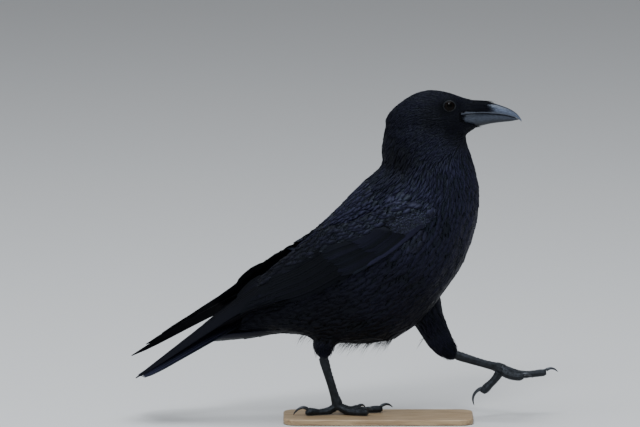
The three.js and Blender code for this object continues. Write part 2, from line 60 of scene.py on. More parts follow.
# Wing, from the bend to the rear, as in the solids: low edge x, y, z, high edge x, y, z, bulge.
WING = [
    (91, 40.5, 211, 90.5, 40.5, 213.5, 0.6),
    (87.5, 43.5, 204, 84, 41, 218.5, 3),
    (79.5, 46, 195, 72, 43, 220.5, 5),
    (64.5, 48, 183, 50.5, 43.5, 219.5, 6),
    (43.5, 49, 167, 27.5, 42, 210.5, 7),
    (19.5, 50, 152, 5.5, 38, 201, 7),
    (-4.5, 49, 140, -18.7, 31, 194.1, 7),
    (-22.5, 47, 129, -36.9, 24, 179.8, 7),
    (-41.5, 44, 120.5, -54.9, 19, 165.8, 6.5),
    (-69.5, 38, 114, -72.9, 14, 151.2, 6),
    (-89.5, 32, 108.5, -90.7, 10, 134.5, 5),
    (-110, 26, 98, -108, 8, 118, 3.5),
]
# The way from the wing's bend to its tip, and the bend's x and height.
WING_AXIS = (-0.87, 0, -0.49)
WING_BEND = (91, 212)
# The left wing is held higher than the right one: how much at most, behind which x, over what
# length, and how softly that sets in.
LEFT_WING_LIFT = (21, -34.5, 75, 1.3)

# Tips of the outer quills, shortest first: x, distance from the middle and height.
QUILL_TIPS = {
    "right": [
        (-128.5, 12, 100.5), (-146, 12, 88), (-163, 12, 74),
        (-181, 12, 60), (-196, 12, 48.5), (-209, 12, 38.5),
    ],
    "left": [
        (-128, 12, 112.6), (-148, 12, 100), (-166, 12.5, 90.6),
        (-183, 13, 80.4), (-199, 13, 69.3), (-213.5, 13, 57.8),
    ],
}
# Root and tip of the middle and the outermost tail feather: x, distance from the middle, height.
TAIL = {"middle": ((-98, 2, 109), (-207, 3, 39.5)), "outer": ((-98, 10, 98.6), (-200, 21, 42.2))}

# How the coat changes over the body: x, z, lie of the feathers in degrees (180 back, 270 down),
# their length, how deep the skin lies under their tips, and the sheen painted into their colour.
COAT_FIELD = [
    (118, 305, 178, 2.4, 0.4, 0.15),
    (113, 319, 180, 2.8, 0.5, 0.3),
    (95, 326, 182, 3.6, 0.4, 0.38),
    (70, 321, 196, 4.8, 0.5, 0.38),
    (48, 302, 236, 6.5, 0.9, 0.25),
    (104, 312, 186, 2.0, 0.3, 0.06),
    (88, 301, 200, 4.2, 0.5, 0.12),
    (112, 293, 200, 2.8, 0.4, 0.1),
    (116, 287, 196, 3.2, 0.4, 0.2),
    (95, 273, 226, 5.5, 0.8, 0.55),
    (74, 286, 232, 6.0, 0.8, 0.35),
    (58, 264, 250, 8.5, 1.2, 0.1),
    (110, 255, 277, 9.5, 1.2, 0.8),
    (130, 240, 283, 10.0, 1.4, 0.8),
    (90, 246, 264, 9.5, 1.3, 0.65),
    (45, 243, 236, 10.5, 1.4, 0.45),
    (136, 210, 268, 11.5, 1.5, 0.7),
    (105, 200, 255, 12.5, 1.7, 0.5),
    (60, 222, 226, 11.5, 1.6, 1.15),
    (80, 232, 232, 10.5, 1.5, 1.0),
    (10, 225, 218, 13.0, 1.6, 1.0),
    (-40, 178, 221, 15.0, 1.7, 0.45),
    (-90, 130, 215, 18.0, 1.7, 0.15),
    (-125, 88, 209, 19.0, 1.0, 0.1),
    (121, 160, 243, 13.0, 1.9, 0.4),
    (90, 115, 216, 14.0, 2.0, 0.15),
    (60, 140, 222, 14.5, 2.0, 0.25),
    (40, 80, 192, 15.0, 2.2, 0.05),
    (0, 77, 180, 15.0, 2.2, 0.05),
    (0, 110, 206, 15.0, 2.0, 0.08),
    (-60, 95, 184, 17.0, 1.8, 0.08),
    (-110, 84, 188, 18.0, 1.0, 0.05),
]
# An eye: its centre, its own radius and its opening's, and how far its axis turns forward and up.
EYE = {
    "x": 104.5, "y": 10.4, "z": 312.6, "radius": 8.5, "opening": 5.2, "forward": 0.03, "upward": 0.07,
}


def at(x, y, z):
    """A point in metres from millimetres above the soles."""
    return Vector((x, y, z + BASE_HEIGHT)) * MM


def between(first, last, share):
    """The number or place that lies a share of the way from the first to the last."""
    return np.add(first, np.subtract(last, first) * share)


def unit(way):
    """The vector of length 1 that points the same way."""
    return way / np.linalg.norm(way)


def link(name, data):
    """A new object with this mesh, lamp or camera, at the origin."""
    made = bpy.data.objects.new(name, data)
    bpy.context.scene.collection.objects.link(made)
    return made


def mesh_from(name, points, faces):
    """A mesh object from points in metres and faces, with its normals made to point outwards."""
    mesh = bpy.data.meshes.new(name)
    mesh.from_pydata([tuple(p) for p in points], [], faces)
    bm = bmesh.new()
    bm.from_mesh(mesh)
    bmesh.ops.remove_doubles(bm, verts=bm.verts, dist=SAME_PLACE)
    bmesh.ops.recalc_face_normals(bm, faces=bm.faces)
    bm.to_mesh(mesh)
    bm.free()
    mesh.polygons.foreach_set("use_smooth", [True] * len(mesh.polygons))
    return link(name, mesh)


def merged_copy(name, nodes):
    """One mesh object from copies of CAD nodes, with their doubled points merged."""
    bm = bmesh.new()
    for node in nodes:
        bm.from_mesh(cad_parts[node].data)
    bmesh.ops.remove_doubles(bm, verts=bm.verts, dist=NODE_SEAM)
    mesh = bpy.data.meshes.new(name)
    bm.to_mesh(mesh)
    bm.free()
    mesh.materials.clear()
    return link(name, mesh)


def made_plain(piece):
    """Turns a piece with modifiers into a plain mesh."""
    depsgraph = bpy.context.evaluated_depsgraph_get()
    mesh = bpy.data.meshes.new_from_object(
        piece.evaluated_get(depsgraph), preserve_all_data_layers=True, depsgraph=depsgraph
    )
    piece.modifiers.clear()
    piece.data = mesh
    mesh.name = piece.name
    return piece


# How far each round of smoothing draws a point towards its neighbours.
SMOOTHING = 0.5


def remeshed(piece, voxel, rounds):
    """Gives a piece an even fine mesh and smooths its facets."""
    remesh = piece.modifiers.new("Even mesh", "REMESH")
    remesh.mode = "VOXEL"
    remesh.voxel_size = voxel * MM
    remesh.use_smooth_shade = True
    smooth = piece.modifiers.new("Smooth", "SMOOTH")
    smooth.factor = SMOOTHING
    smooth.iterations = rounds
    return made_plain(piece)


def points_of(mesh):
    """A mesh's points as an array in metres."""
    flat = np.empty(len(mesh.vertices) * 3)
    mesh.vertices.foreach_get("co", flat)
    return flat.reshape(-1, 3)


def normals_of(mesh):
    """A mesh's point normals as an array."""
    flat = np.empty(len(mesh.vertices) * 3)
    mesh.vertex_normals.foreach_get("vector", flat)
    return flat.reshape(-1, 3)


def add_attribute(mesh, name, values, kind="FLOAT"):
    """Stores one value or vector for each point."""
    attribute = mesh.attributes.get(name) or mesh.attributes.new(name, kind, "POINT")
    key = "vector" if kind in ("FLOAT_VECTOR", "FLOAT2") else "value"
    attribute.data.foreach_set(key, np.asarray(values, np.float32).ravel())


def tree_of(mesh):
    """A search tree over a mesh's faces."""
    return BVHTree.FromPolygons(
        [v.co for v in mesh.vertices], [tuple(p.vertices) for p in mesh.polygons]
    )


STEPS_PER_CONTROL = 12


def flowing(controls, count):
    """Evenly spaced points on a smooth line through the control points."""
    controls = np.asarray(controls, float)
    steps = np.linalg.norm(np.diff(controls, axis=0), axis=1)
    knots = np.concatenate([[0], np.cumsum(steps)])
    slopes = np.gradient(controls, knots, axis=0)
    fine = np.linspace(0, knots[-1], STEPS_PER_CONTROL * len(controls))
    cell = np.clip(np.searchsorted(knots, fine, side="right") - 1, 0, len(steps) - 1)
    span = steps[cell][:, None]
    t = ((fine - knots[cell]) / steps[cell])[:, None]
    line = (
        (2 * t**3 - 3 * t**2 + 1) * controls[cell]
        + (t**3 - 2 * t**2 + t) * span * slopes[cell]
        + (3 * t**2 - 2 * t**3) * controls[cell + 1]
        + (t**3 - t**2) * span * slopes[cell + 1]
    )
    run = np.concatenate([[0], np.cumsum(np.linalg.norm(np.diff(line, axis=0), axis=1))])
    even = np.linspace(0, run[-1], count)
    return np.stack([np.interp(even, run, column) for column in line.T], 1)


def loft(name, rings):
    """A closed skin over rings of points, with both ends filled."""
    size = len(rings[0])
    points = [p for ring in rings for p in ring]
    faces = []
    for row in range(len(rings) - 1):
        for i in range(size):
            j = (i + 1) % size
            a = row * size
            faces.append((a + i, a + j, a + size + j, a + size + i))
    faces.append(tuple(range(size)))
    faces.append(tuple(range(len(points) - size, len(points))))
    return mesh_from(name, points, faces)


def finished(piece, slot, *nodes):
    """Hands a finished piece to the frame: it rides on the one body and replaces its CAD nodes."""
    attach(piece, "root")
    if nodes:
        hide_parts(*nodes)
    return piece


# Node trees


def put(tree, kind, settings=None, feeds=None):
    """Adds a node, sets its properties, and feeds its inputs with values or other nodes' sockets."""
    node = tree.nodes.new(kind)
    for key, value in (settings or {}).items():
        setattr(node, key, value)
    for key, value in (feeds or {}).items():
        if isinstance(value, bpy.types.NodeSocket):
            tree.links.new(value, node.inputs[key])
        else:
            node.inputs[key].default_value = value
    return node


def calc(tree, operation, *values):
    """A Math node's output."""
    node = put(tree, "ShaderNodeMath", {"operation": operation}, dict(enumerate(values)))
    return node.outputs[0]


def vector(tree, operation, *values):
    """A Vector Math node's vector output; scale takes its number last."""
    feeds = dict(enumerate(values))
    if operation == "SCALE":
        feeds = {0: values[0], "Scale": values[1]}
    return put(tree, "ShaderNodeVectorMath", {"operation": operation}, feeds).outputs["Vector"]


def named(tree, name, kind="FLOAT"):
    """A stored attribute's output."""
    return put(
        tree, "GeometryNodeInputNamedAttribute", {"data_type": kind}, {"Name": name}
    ).outputs["Attribute"]


def store(tree, geometry, name, value, kind="FLOAT", domain="POINT"):
    """Stores a value on the geometry under a name."""
    return put(
        tree,
        "GeometryNodeStoreNamedAttribute",
        {"data_type": kind, "domain": domain},
        {"Geometry": geometry, "Name": name, "Value": value},
    ).outputs["Geometry"]


def combined(tree, **parts):
    """A vector put together from its X, Y and Z."""
    return put(tree, "ShaderNodeCombineXYZ", None, parts).outputs[0]


def moved(tree, geometry, key, value):
    """The geometry with its points at a new Position, or moved by an Offset."""
    feeds = {"Geometry": geometry, key: value}
    return put(tree, "GeometryNodeSetPosition", None, feeds).outputs[0]


def chance(tree, low, high, seed):
    """A random number for each element."""
    return put(
        tree, "FunctionNodeRandomValue", {"data_type": "FLOAT"}, {2: low, 3: high, "Seed": seed}
    ).outputs[1]


def new_tree(name, sizes):
    """A geometry tree with named inputs, given as label: (socket kind, default)."""
    tree = bpy.data.node_groups.new(name, "GeometryNodeTree")
    tree.interface.new_socket("Geometry", in_out="INPUT", socket_type="NodeSocketGeometry")
    tree.interface.new_socket("Geometry", in_out="OUTPUT", socket_type="NodeSocketGeometry")
    for label, (kind, default) in sizes.items():
        socket = tree.interface.new_socket(label, in_out="INPUT", socket_type="NodeSocket" + kind)
        if default is not None:
            socket.default_value = default
    return tree, tree.nodes.new("NodeGroupInput").outputs, tree.nodes.new("NodeGroupOutput")


def grown(piece, tree, values):
    """Runs a geometry tree on a piece with these inputs and keeps the result as a plain mesh."""
    modifier = piece.modifiers.new(tree.name, "NODES")
    modifier.node_group = tree
    for item in tree.interface.items_tree:
        if item.item_type == "SOCKET" and item.in_out == "INPUT" and item.name in values:
            modifier[item.identifier] = values[item.name]
    return made_plain(piece)


# Size of a feather's patch on the skin's unwrap.
UV_PATCH = 0.0028


def patch_uv(tree, geometry, root):
    """Gives each feather a small patch on the skin's unwrap, at its root's place."""
    across = calc(tree, "MULTIPLY", named(tree, "across"), UV_PATCH / 2)
    along = calc(tree, "MULTIPLY_ADD", named(tree, "along"), UV_PATCH, -UV_PATCH / 2)
    patch = vector(tree, "ADD", root, combined(tree, X=across, Y=along))
    return store(tree, geometry, "OFBake", patch, "FLOAT2", "CORNER")


def finished_geometry(tree, geometry, material, outlet):
    """Ends a tree: real mesh, smooth shading, material."""
    real = put(tree, "GeometryNodeRealizeInstances", None, {"Geometry": geometry}).outputs[0]
    soft = put(tree, "GeometryNodeSetShadeSmooth", None, {"Geometry": real}).outputs[0]
    made = put(tree, "GeometryNodeSetMaterial", None, {"Geometry": soft, "Material": material})
    tree.links.new(made.outputs[0], outlet.inputs[0])


def surface_under(tree, mesh):
    """The nearest place on a mesh and the unit normal there, for each point."""
    sampled = []
    for field in ("GeometryNodeInputPosition", "GeometryNodeInputNormal"):
        feeds = {
            "Mesh": mesh,
            "Value": put(tree, field).outputs[0],
            "Sample Position": put(tree, "GeometryNodeInputPosition").outputs[0],
        }
        node = put(
            tree, "GeometryNodeSampleNearestSurface", {"data_type": "FLOAT_VECTOR"}, feeds
        )
        sampled.append(node.outputs[0])
    return sampled[0], vector(tree, "NORMALIZE", sampled[1])


# How uneven the coat is: the shortest and longest feather for its place, the least rise and how
# much more it may be, and the roll to one side.
FEATHER_LENGTHS = (0.85, 1.15)
FEATHER_RISES = (0.65, 0.7)
FEATHER_ROLL = 0.04
# Most feathers on a square metre.
MOST_FEATHERS = 4.0e6
# Seeds for what tells feathers apart, for how they swing and for their lengths.
CHANCE_SEED, SWING_SEED, LENGTH_SEED = 3, 5, 7
# Over what share of a feather its overlap sets in.
LAP_SHARE = 1 / 3


def coat_tree():
    """Scatters one feather pattern over the skin, turned to the lie of the coat, and bends each
    feather to the skin under it, so that it lies along the body with its tip a little raised."""
    tree, given, outlet = new_tree(
        "Coat feathers",
        {
            "Pattern": ("Object", None),
            "Spacing": ("Float", 0.004),
            "Region": ("String", "body"),
            "Length": ("Float", 1.0),
            "Rise": ("Float", 0.1),
            "Sink": ("Float", 0.0003),
            "Overlap": ("Float", 0.0),
            "Scatter": ("Float", 0.2),
            "Seed": ("Int", 1),
            "Material": ("Material", None),
        },
    )
    region = put(
        tree, "GeometryNodeInputNamedAttribute", {"data_type": "FLOAT"}, {"Name": given["Region"]}
    ).outputs["Attribute"]
    spread = put(
        tree,
        "GeometryNodeDistributePointsOnFaces",
        {"distribute_method": "POISSON"},
        {
            "Mesh": given["Geometry"],
            "Distance Min": given["Spacing"],
            "Density Max": MOST_FEATHERS,
            "Density Factor": region,
            "Seed": given["Seed"],
        },
    )
    points = store(tree, spread.outputs["Points"], "chance", chance(tree, 0.0, 1.0, CHANCE_SEED))
    facing = put(
        tree,
        "FunctionNodeAxesToRotation",
        {"primary_axis": "Z", "secondary_axis": "X"},
        {
            "Primary Axis": spread.outputs["Normal"],
            "Secondary Axis": named(tree, "lie", "FLOAT_VECTOR"),
        },
    ).outputs[0]
    swing = calc(tree, "MULTIPLY", chance(tree, -1.0, 1.0, SWING_SEED), given["Scatter"])
    turn = put(tree, "FunctionNodeEulerToRotation", None, {"Euler": combined(tree, Z=swing)})
    rotation = put(
        tree,
        "FunctionNodeRotateRotation",
        {"rotation_space": "LOCAL"},
        {"Rotation": facing, "Rotate By": turn.outputs[0]},
    ).outputs[0]
    length = calc(tree, "MULTIPLY", named(tree, "size"), given["Length"])
    varied = calc(tree, "MULTIPLY", length, chance(tree, *FEATHER_LENGTHS, LENGTH_SEED))
    pattern = put(tree, "GeometryNodeObjectInfo", None, {"Object": given["Pattern"]})
    placed = put(
        tree,
        "GeometryNodeInstanceOnPoints",
        None,
        {
            "Points": points,
            "Instance": pattern.outputs["Geometry"],
            "Rotation": rotation,
            "Scale": varied,
        },
    ).outputs[0]
    real = put(tree, "GeometryNodeRealizeInstances", None, {"Geometry": placed}).outputs[0]
    under, outward = surface_under(tree, given["Geometry"])
    height = calc(tree, "MULTIPLY", named(tree, "along"), given["Rise"])
    least, more = FEATHER_RISES
    unevenness = calc(tree, "MULTIPLY_ADD", named(tree, "chance"), more, least)
    height = calc(tree, "MULTIPLY", height, unevenness)
    turned = calc(tree, "SUBTRACT", named(tree, "chance"), 0.5)
    roll = calc(tree, "MULTIPLY", turned, FEATHER_ROLL)
    height = calc(tree, "MULTIPLY_ADD", named(tree, "across"), roll, height)
    height = calc(tree, "ADD", height, named(tree, "level"))
    height = calc(tree, "MULTIPLY", height, length)
    height = calc(tree, "SUBTRACT", height, given["Sink"])
    lap = calc(tree, "MULTIPLY", named(tree, "along"), 1 / LAP_SHARE)
    lap = calc(tree, "MINIMUM", lap, 1.0)
    height = calc(tree, "MULTIPLY_ADD", lap, given["Overlap"], height)
    lifted = vector(tree, "SCALE", outward, height)
    settled = moved(tree, real, "Position", vector(tree, "ADD", under, lifted))
    patched = patch_uv(tree, settled, named(tree, "OFBake", "FLOAT_VECTOR"))
    finished_geometry(tree, patched, given["Material"], outlet)
    return tree


# A vane's section: its sides, how sharp its shaft is, and from what height up the shaft counts.
VANE_SIDES = 10
SHAFT_SHARPNESS = 6.0
ABOVE_EDGE = 0.01


def vane_tree():
    """Turns guide lines, each a chain of edges with a facing and a half width stored on its
    points, into closed vanes with a raised shaft. Where a line is bedded, its vane follows the
    bed's surface, at the line's lift over it and rolled a little to one side."""
    tree, given, outlet = new_tree(
        "Long vanes",
        {
            "Bed": ("Object", None),
            "Points": ("Int", 14),
            "Thickness": ("Float", 0.09),
            "Shaft": ("Float", 0.06),
            "Hollow": ("Float", 0.12),
            "Material": ("Material", None),
        },
    )
    lines = put(tree, "GeometryNodeMeshToCurve", None, {"Mesh": given["Geometry"]}).outputs[0]
    lines = put(
        tree,
        "GeometryNodeResampleCurve",
        {"mode": "COUNT"},
        {"Curve": lines, "Count": given["Points"]},
    ).outputs[0]
    lines = put(
        tree,
        "GeometryNodeSetCurveNormal",
        {"mode": "FREE"},
        {"Curve": lines, "Normal": named(tree, "facing", "FLOAT_VECTOR")},
    ).outputs[0]
    circle = put(
        tree,
        "GeometryNodeCurvePrimitiveCircle",
        {"mode": "RADIUS"},
        {"Resolution": VANE_SIDES, "Radius": 1.0},
    ).outputs[0]
    here = put(tree, "GeometryNodeInputPosition").outputs[0]
    place = put(tree, "ShaderNodeSeparateXYZ", None, {0: here}).outputs
    across = place[0]
    section = store(tree, circle, "across", across)
    upper = calc(tree, "GREATER_THAN", place[1], ABOVE_EDGE)
    middle = calc(tree, "SUBTRACT", 1.0, calc(tree, "ABSOLUTE", across))
    shaft = calc(tree, "MULTIPLY", calc(tree, "POWER", middle, SHAFT_SHARPNESS), given["Shaft"])
    shaft = calc(tree, "MULTIPLY", shaft, upper)
    body = calc(tree, "MULTIPLY", place[1], given["Thickness"])
    droop = calc(tree, "MULTIPLY", calc(tree, "MULTIPLY", across, across), given["Hollow"])
    rise = calc(tree, "SUBTRACT", calc(tree, "ADD", body, shaft), droop)
    section = store(tree, section, "level", rise)
    section = moved(tree, section, "Position", combined(tree, X=rise, Y=across))
    vanes = put(
        tree,
        "GeometryNodeCurveToMesh",
        None,
        {
            "Curve": lines,
            "Profile Curve": section,
            "Scale": named(tree, "half"),
            "Fill Caps": True,
        },
    ).outputs[0]
    bed = put(tree, "GeometryNodeObjectInfo", None, {"Object": given["Bed"]}).outputs["Geometry"]
    under, outward = surface_under(tree, bed)
    tilt = calc(tree, "MULTIPLY", named(tree, "across"), named(tree, "roll"))
    height = calc(tree, "ADD", named(tree, "level"), tilt)
    height = calc(tree, "MULTIPLY_ADD", height, named(tree, "half"), named(tree, "lift"))
    laid = vector(tree, "ADD", under, vector(tree, "SCALE", outward, height))
    change = vector(tree, "SCALE", vector(tree, "SUBTRACT", laid, here), named(tree, "bedded"))
    laid = moved(tree, vanes, "Offset", change)
    patched = patch_uv(tree, laid, named(tree, "root", "FLOAT_VECTOR"))
    finished_geometry(tree, patched, given["Material"], outlet)
    return tree


# Materials

# Roughness of a shader's clear coat.
COAT_ROUGHNESS = 0.12
# Noise patterns: scale, detail and how much each axis is stretched.
GLOSS_PATCHES = (45.0, 4.0)
FEATHER_GRAIN = (900.0, 2.0)
HORN_STREAKS = (260.0, 5.0, (0.18, 1, 1))
HORN_CLOUDS = (45.0, 4.0)
HORN_MOTTLE = (800.0, 6.0, (0.45, 1, 1))
HORN_RIDGES = (420.0, 5.0, (0.12, 1, 1))
SKIN_DUST = (260.0, 5.0)
SKIN_GRAIN = (900.0, 4.0)
OAK_GRAIN = (55.0, 6.0, (0.12, 1, 1.2))
OAK_PORES = (620.0, 3.0, (0.05, 1, 1))
IRIS_STREAKS = (1400.0, 4.0)
# The part of a noise's range that most of it lies in.
NOISE_SPAN = (0.3, 0.7)


def surface(name, colour, roughness, specular, tint=(1, 1, 1), coat=0.0):
    """A new material with its plain values set on the shader."""
    material = bpy.data.materials.new(name)
    material.use_nodes = True
    shader = material.node_tree.nodes["Principled BSDF"]
    shader.inputs["Base Color"].default_value = (*colour, 1)
    shader.inputs["Roughness"].default_value = roughness
    shader.inputs["Specular IOR Level"].default_value = specular
    shader.inputs["Specular Tint"].default_value = (*tint, 1)
    shader.inputs["Coat Weight"].default_value = coat
    shader.inputs["Coat Roughness"].default_value = COAT_ROUGHNESS
    return material, material.node_tree, shader


def value_of(tree, name):
    """A surface attribute's number in a material."""
    return put(tree, "ShaderNodeAttribute", {"attribute_name": name}).outputs["Fac"]


def noise(tree, scale, detail=4.0, stretch=(1, 1, 1)):
    """Noise over the object's own coordinates."""
    place = put(tree, "ShaderNodeTexCoord").outputs["Object"]
    mapped = put(tree, "ShaderNodeMapping", None, {"Vector": place, "Scale": stretch}).outputs[0]
    return put(
        tree, "ShaderNodeTexNoise", None, {"Vector": mapped, "Scale": scale, "Detail": detail}
    ).outputs[0]


def blend(tree, factor, first, second):
    """A mix of two colours."""
    node = put(tree, "ShaderNodeMix", {"data_type": "RGBA"})
    for socket, value in zip((0, 6, 7), (factor, first, second)):
        if isinstance(value, bpy.types.NodeSocket):
            tree.links.new(value, node.inputs[socket])
        elif socket == 0:
            node.inputs[0].default_value = value
        else:
            node.inputs[socket].default_value = (*value, 1)
    return node.outputs[2]


def ramp(tree, value, low, high, start=0.0, end=1.0):
    """A value mapped from one range to another."""
    return put(
        tree,
        "ShaderNodeMapRange",
        None,
        {0: value, 1: low, 2: high, 3: start, 4: end},
    ).outputs[0]


# How the sheen painted into a feather's colour varies from patch to patch, from feather to
# feather and from root to tip, the most that it may be, and over which chances the painted
# sheen turns from blue to violet.
PATCH_PAINTED_SHEEN = (-0.16, 0.16)
FEATHER_PAINTED_SHEEN = (0.6, 1.3)
ROOT_TO_TIP, TIP_PAINTED_SHEEN = (0.1, 0.95), (0.55, 1.25)
MOST_PAINTED_SHEEN = 1.6
VIOLET_SPAN = (0.35, 0.65)
# How much darker a feather's edges are and how sharply, and how uneven its roughness is.
EDGE_SHADE, EDGE_SHARPNESS = -0.12, 3.0
UNEVENNESS = (-0.05, 0.05)
# Relief: the barbs' height by the shaft's, their shift from feather to feather, the shaft's
# sharpness, and the strength of it all.
BARB_HEIGHT, BARB_SHIFT, SHAFT_EDGE, FEATHER_RELIEF = 0.35, 40.0, 12.0, 0.6


def add_relief(tree, shader, height, strength, depth):
    """Gives a material fine relief, with its depth in millimetres."""
    feeds = {"Height": height, "Strength": strength, "Distance": depth * MM}
    bump = put(tree, "ShaderNodeBump", None, feeds)
    tree.links.new(bump.outputs[0], shader.inputs["Normal"])


def paint(tree, shader, colour, roughness):
    """Feeds a material's colour and roughness."""
    tree.links.new(colour, shader.inputs["Base Color"])
    tree.links.new(roughness, shader.inputs["Roughness"])


def plumage(name, sizes, specular, roughness, barbs):
    """Black feathers: dull black with a sheen of blue and violet black painted into the colour by the
    coat and the feather, and barbs in relief.
    """
    material, tree, shader = surface(name, sizes.dull_black, roughness, specular, sizes.gloss_tint)
    # Painted sheen: the coat's value blends the base colour from dull black towards blue and violet
    # black, more at a feather's tip than at its root.
    gloss = value_of(tree, "gloss")
    one = value_of(tree, "chance")
    along = value_of(tree, "along")
    across = value_of(tree, "across")
    out = calc(tree, "ABSOLUTE", across)
    patchy = ramp(tree, noise(tree, *GLOSS_PATCHES), *NOISE_SPAN, *PATCH_PAINTED_SHEEN)
    varied = calc(tree, "ADD", patchy, ramp(tree, one, 0, 1, *FEATHER_PAINTED_SHEEN))
    sheen = calc(tree, "MULTIPLY", gloss, varied)
    sheen = calc(tree, "MULTIPLY", sheen, ramp(tree, along, *ROOT_TO_TIP, *TIP_PAINTED_SHEEN))
    sheen = calc(tree, "MINIMUM", calc(tree, "MAXIMUM", sheen, 0.0), MOST_PAINTED_SHEEN)
    violet = ramp(tree, one, *VIOLET_SPAN)
    glossy = blend(tree, violet, sizes.painted_sheen_blue, sizes.painted_sheen_violet)
    colour = blend(tree, sheen, sizes.dull_black, glossy)
    edge = calc(tree, "POWER", out, EDGE_SHARPNESS)
    shade = calc(tree, "MULTIPLY_ADD", edge, EDGE_SHADE, 1.0)
    rough = calc(tree, "ADD", ramp(tree, one, 0.0, 1.0, *UNEVENNESS), roughness)
    grain = ramp(tree, noise(tree, *FEATHER_GRAIN), *NOISE_SPAN, *UNEVENNESS)
    rough = calc(tree, "ADD", rough, grain)
    paint(tree, shader, vector(tree, "SCALE", colour, shade), rough)
    count, slope, depth = barbs
    slant = calc(tree, "MULTIPLY", out, slope)
    phase = calc(tree, "SUBTRACT", calc(tree, "MULTIPLY", along, count), slant)
    phase = calc(tree, "ADD", phase, calc(tree, "MULTIPLY", one, BARB_SHIFT))
    shaft = calc(tree, "POWER", calc(tree, "SUBTRACT", 1.0, out), SHAFT_EDGE)
    wave = calc(tree, "MULTIPLY", calc(tree, "SINE", phase), BARB_HEIGHT)
    add_relief(tree, shader, calc(tree, "ADD", wave, shaft), FEATHER_RELIEF, depth)
    return material


# Horn: its tint and clear coat, which part of the streaks and clouds shows, how far the
# mottling varies, how much the streaks are worn and roughened, and the relief's strength and
# depth.
HORN_TINT = (0.8, 0.88, 1)
HORN_COAT = 0.2
STREAK_SPAN, CLOUD_SPAN = (0.45, 0.75), (0.35, 0.7)
MOTTLING = (0.55, 1.4)
STREAK_WEAR, STREAK_ROUGHNESS = 0.5, 0.16
HORN_RELIEF = (0.25, 0.25)


def horn(name, colour, pale, roughness, specular):
    """Bill and claw horn: slate black with fine lengthwise wear, paler where the worn attribute marks
    pale wear on the bill's edges and a painted highlight on its faces.
    """
    material, tree, shader = surface(name, colour, roughness, specular, HORN_TINT, HORN_COAT)
    streaks = ramp(tree, noise(tree, *HORN_STREAKS), *STREAK_SPAN)
    cloud = ramp(tree, noise(tree, *HORN_CLOUDS), *CLOUD_SPAN)
    streaky = calc(tree, "MULTIPLY", calc(tree, "MULTIPLY", streaks, cloud), STREAK_WEAR)
    mottled = ramp(tree, noise(tree, *HORN_MOTTLE), *NOISE_SPAN, *MOTTLING)
    # The bill's worn attribute holds pale wear on its edges and a painted highlight on its faces.
    worn = calc(tree, "MULTIPLY", value_of(tree, "worn"), mottled)
    worn = calc(tree, "MAXIMUM", streaky, worn)
    rough = calc(tree, "ADD", calc(tree, "MULTIPLY", streaks, STREAK_ROUGHNESS), roughness)
    paint(tree, shader, blend(tree, worn, tuple(colour), tuple(pale)), rough)
    add_relief(tree, shader, noise(tree, *HORN_RIDGES), *HORN_RELIEF)
    return material


# Leg skin: its tint, its roughness and specular, the size of its small scales and the width of
# their seams, how much dust shows, on the scutes and off them, the dust's roughness, and the
# relief's top, its grain, and its strength and depth.
SCALY_TINT = (0.82, 0.9, 1)
SCALY_SHINE = (0.42, 0.28)
SMALL_SCALES, SEAM_WIDTH = 1100.0, 0.16
DUST_SPAN = (0.44, 0.66)
DUST_ON_SCUTES, DUST_OFF_SCUTES = 0.7, 0.3
DUST_ROUGHNESS, CLEAN_ROUGHNESS = 0.2, 0.36
SCALE_TOP, SCALE_GRAIN = 1.15, 0.3
SCALY_RELIEF = (0.5, 0.3)


def scaly_skin(name, colour, pale):
    """Leg skin: slate-black scutes with small scales between them."""
    material, tree, shader = surface(name, colour, *SCALY_SHINE, SCALY_TINT)
    place = put(tree, "ShaderNodeTexCoord").outputs["Object"]
    cells = put(
        tree,
        "ShaderNodeTexVoronoi",
        {"feature": "DISTANCE_TO_EDGE"},
        {"Vector": place, "Scale": SMALL_SCALES},
    ).outputs[0]
    scale = ramp(tree, cells, 0.0, SEAM_WIDTH)
    dust = ramp(tree, noise(tree, *SKIN_DUST), *DUST_SPAN)
    raised = value_of(tree, "scute")
    shown = calc(tree, "MULTIPLY_ADD", raised, DUST_ON_SCUTES, DUST_OFF_SCUTES)
    tone = calc(tree, "MULTIPLY", dust, shown)
    rough = calc(tree, "MULTIPLY_ADD", dust, DUST_ROUGHNESS, CLEAN_ROUGHNESS)
    paint(tree, shader, blend(tree, tone, tuple(colour), tuple(pale)), rough)
    relief = calc(tree, "MULTIPLY", scale, calc(tree, "SUBTRACT", SCALE_TOP, raised))
    grain = calc(tree, "MULTIPLY", noise(tree, *SKIN_GRAIN), SCALE_GRAIN)
    add_relief(tree, shader, calc(tree, "ADD", relief, grain), *SCALY_RELIEF)
    return material


# Oak: its roughness and specular, growth rings across the grain's range, how dark they and the
# wood between are, how much the pores darken and roughen it, and the relief.
OAK_SHINE = (0.45, 0.4)
RINGS, RING_TONE, PLAIN_TONE = 46.0, 0.22, 0.4
PORE_SPAN, PORE_TONE = (0.52, 0.62), 0.3
PORE_ROUGHNESS, OAK_ROUGHNESS = 0.2, 0.42
OAK_RELIEF = (0.3, 0.2)


def oak(name, colour, dark):
    """Oiled oak with grain along the base's length."""
    material, tree, shader = surface(name, colour, *OAK_SHINE)
    pores = ramp(tree, noise(tree, *OAK_PORES), *PORE_SPAN)
    rings = calc(tree, "SINE", calc(tree, "MULTIPLY", noise(tree, *OAK_GRAIN), RINGS))
    tone = calc(tree, "MULTIPLY_ADD", rings, RING_TONE, PLAIN_TONE)
    tone = calc(tree, "ADD", tone, calc(tree, "MULTIPLY", pores, PORE_TONE))
    rough = calc(tree, "MULTIPLY_ADD", pores, PORE_ROUGHNESS, OAK_ROUGHNESS)
    paint(tree, shader, blend(tree, tone, tuple(colour), tuple(dark)), rough)
    add_relief(tree, shader, calc(tree, "SUBTRACT", tone, pores), *OAK_RELIEF)
    return material


# Skin and the lie of the coat

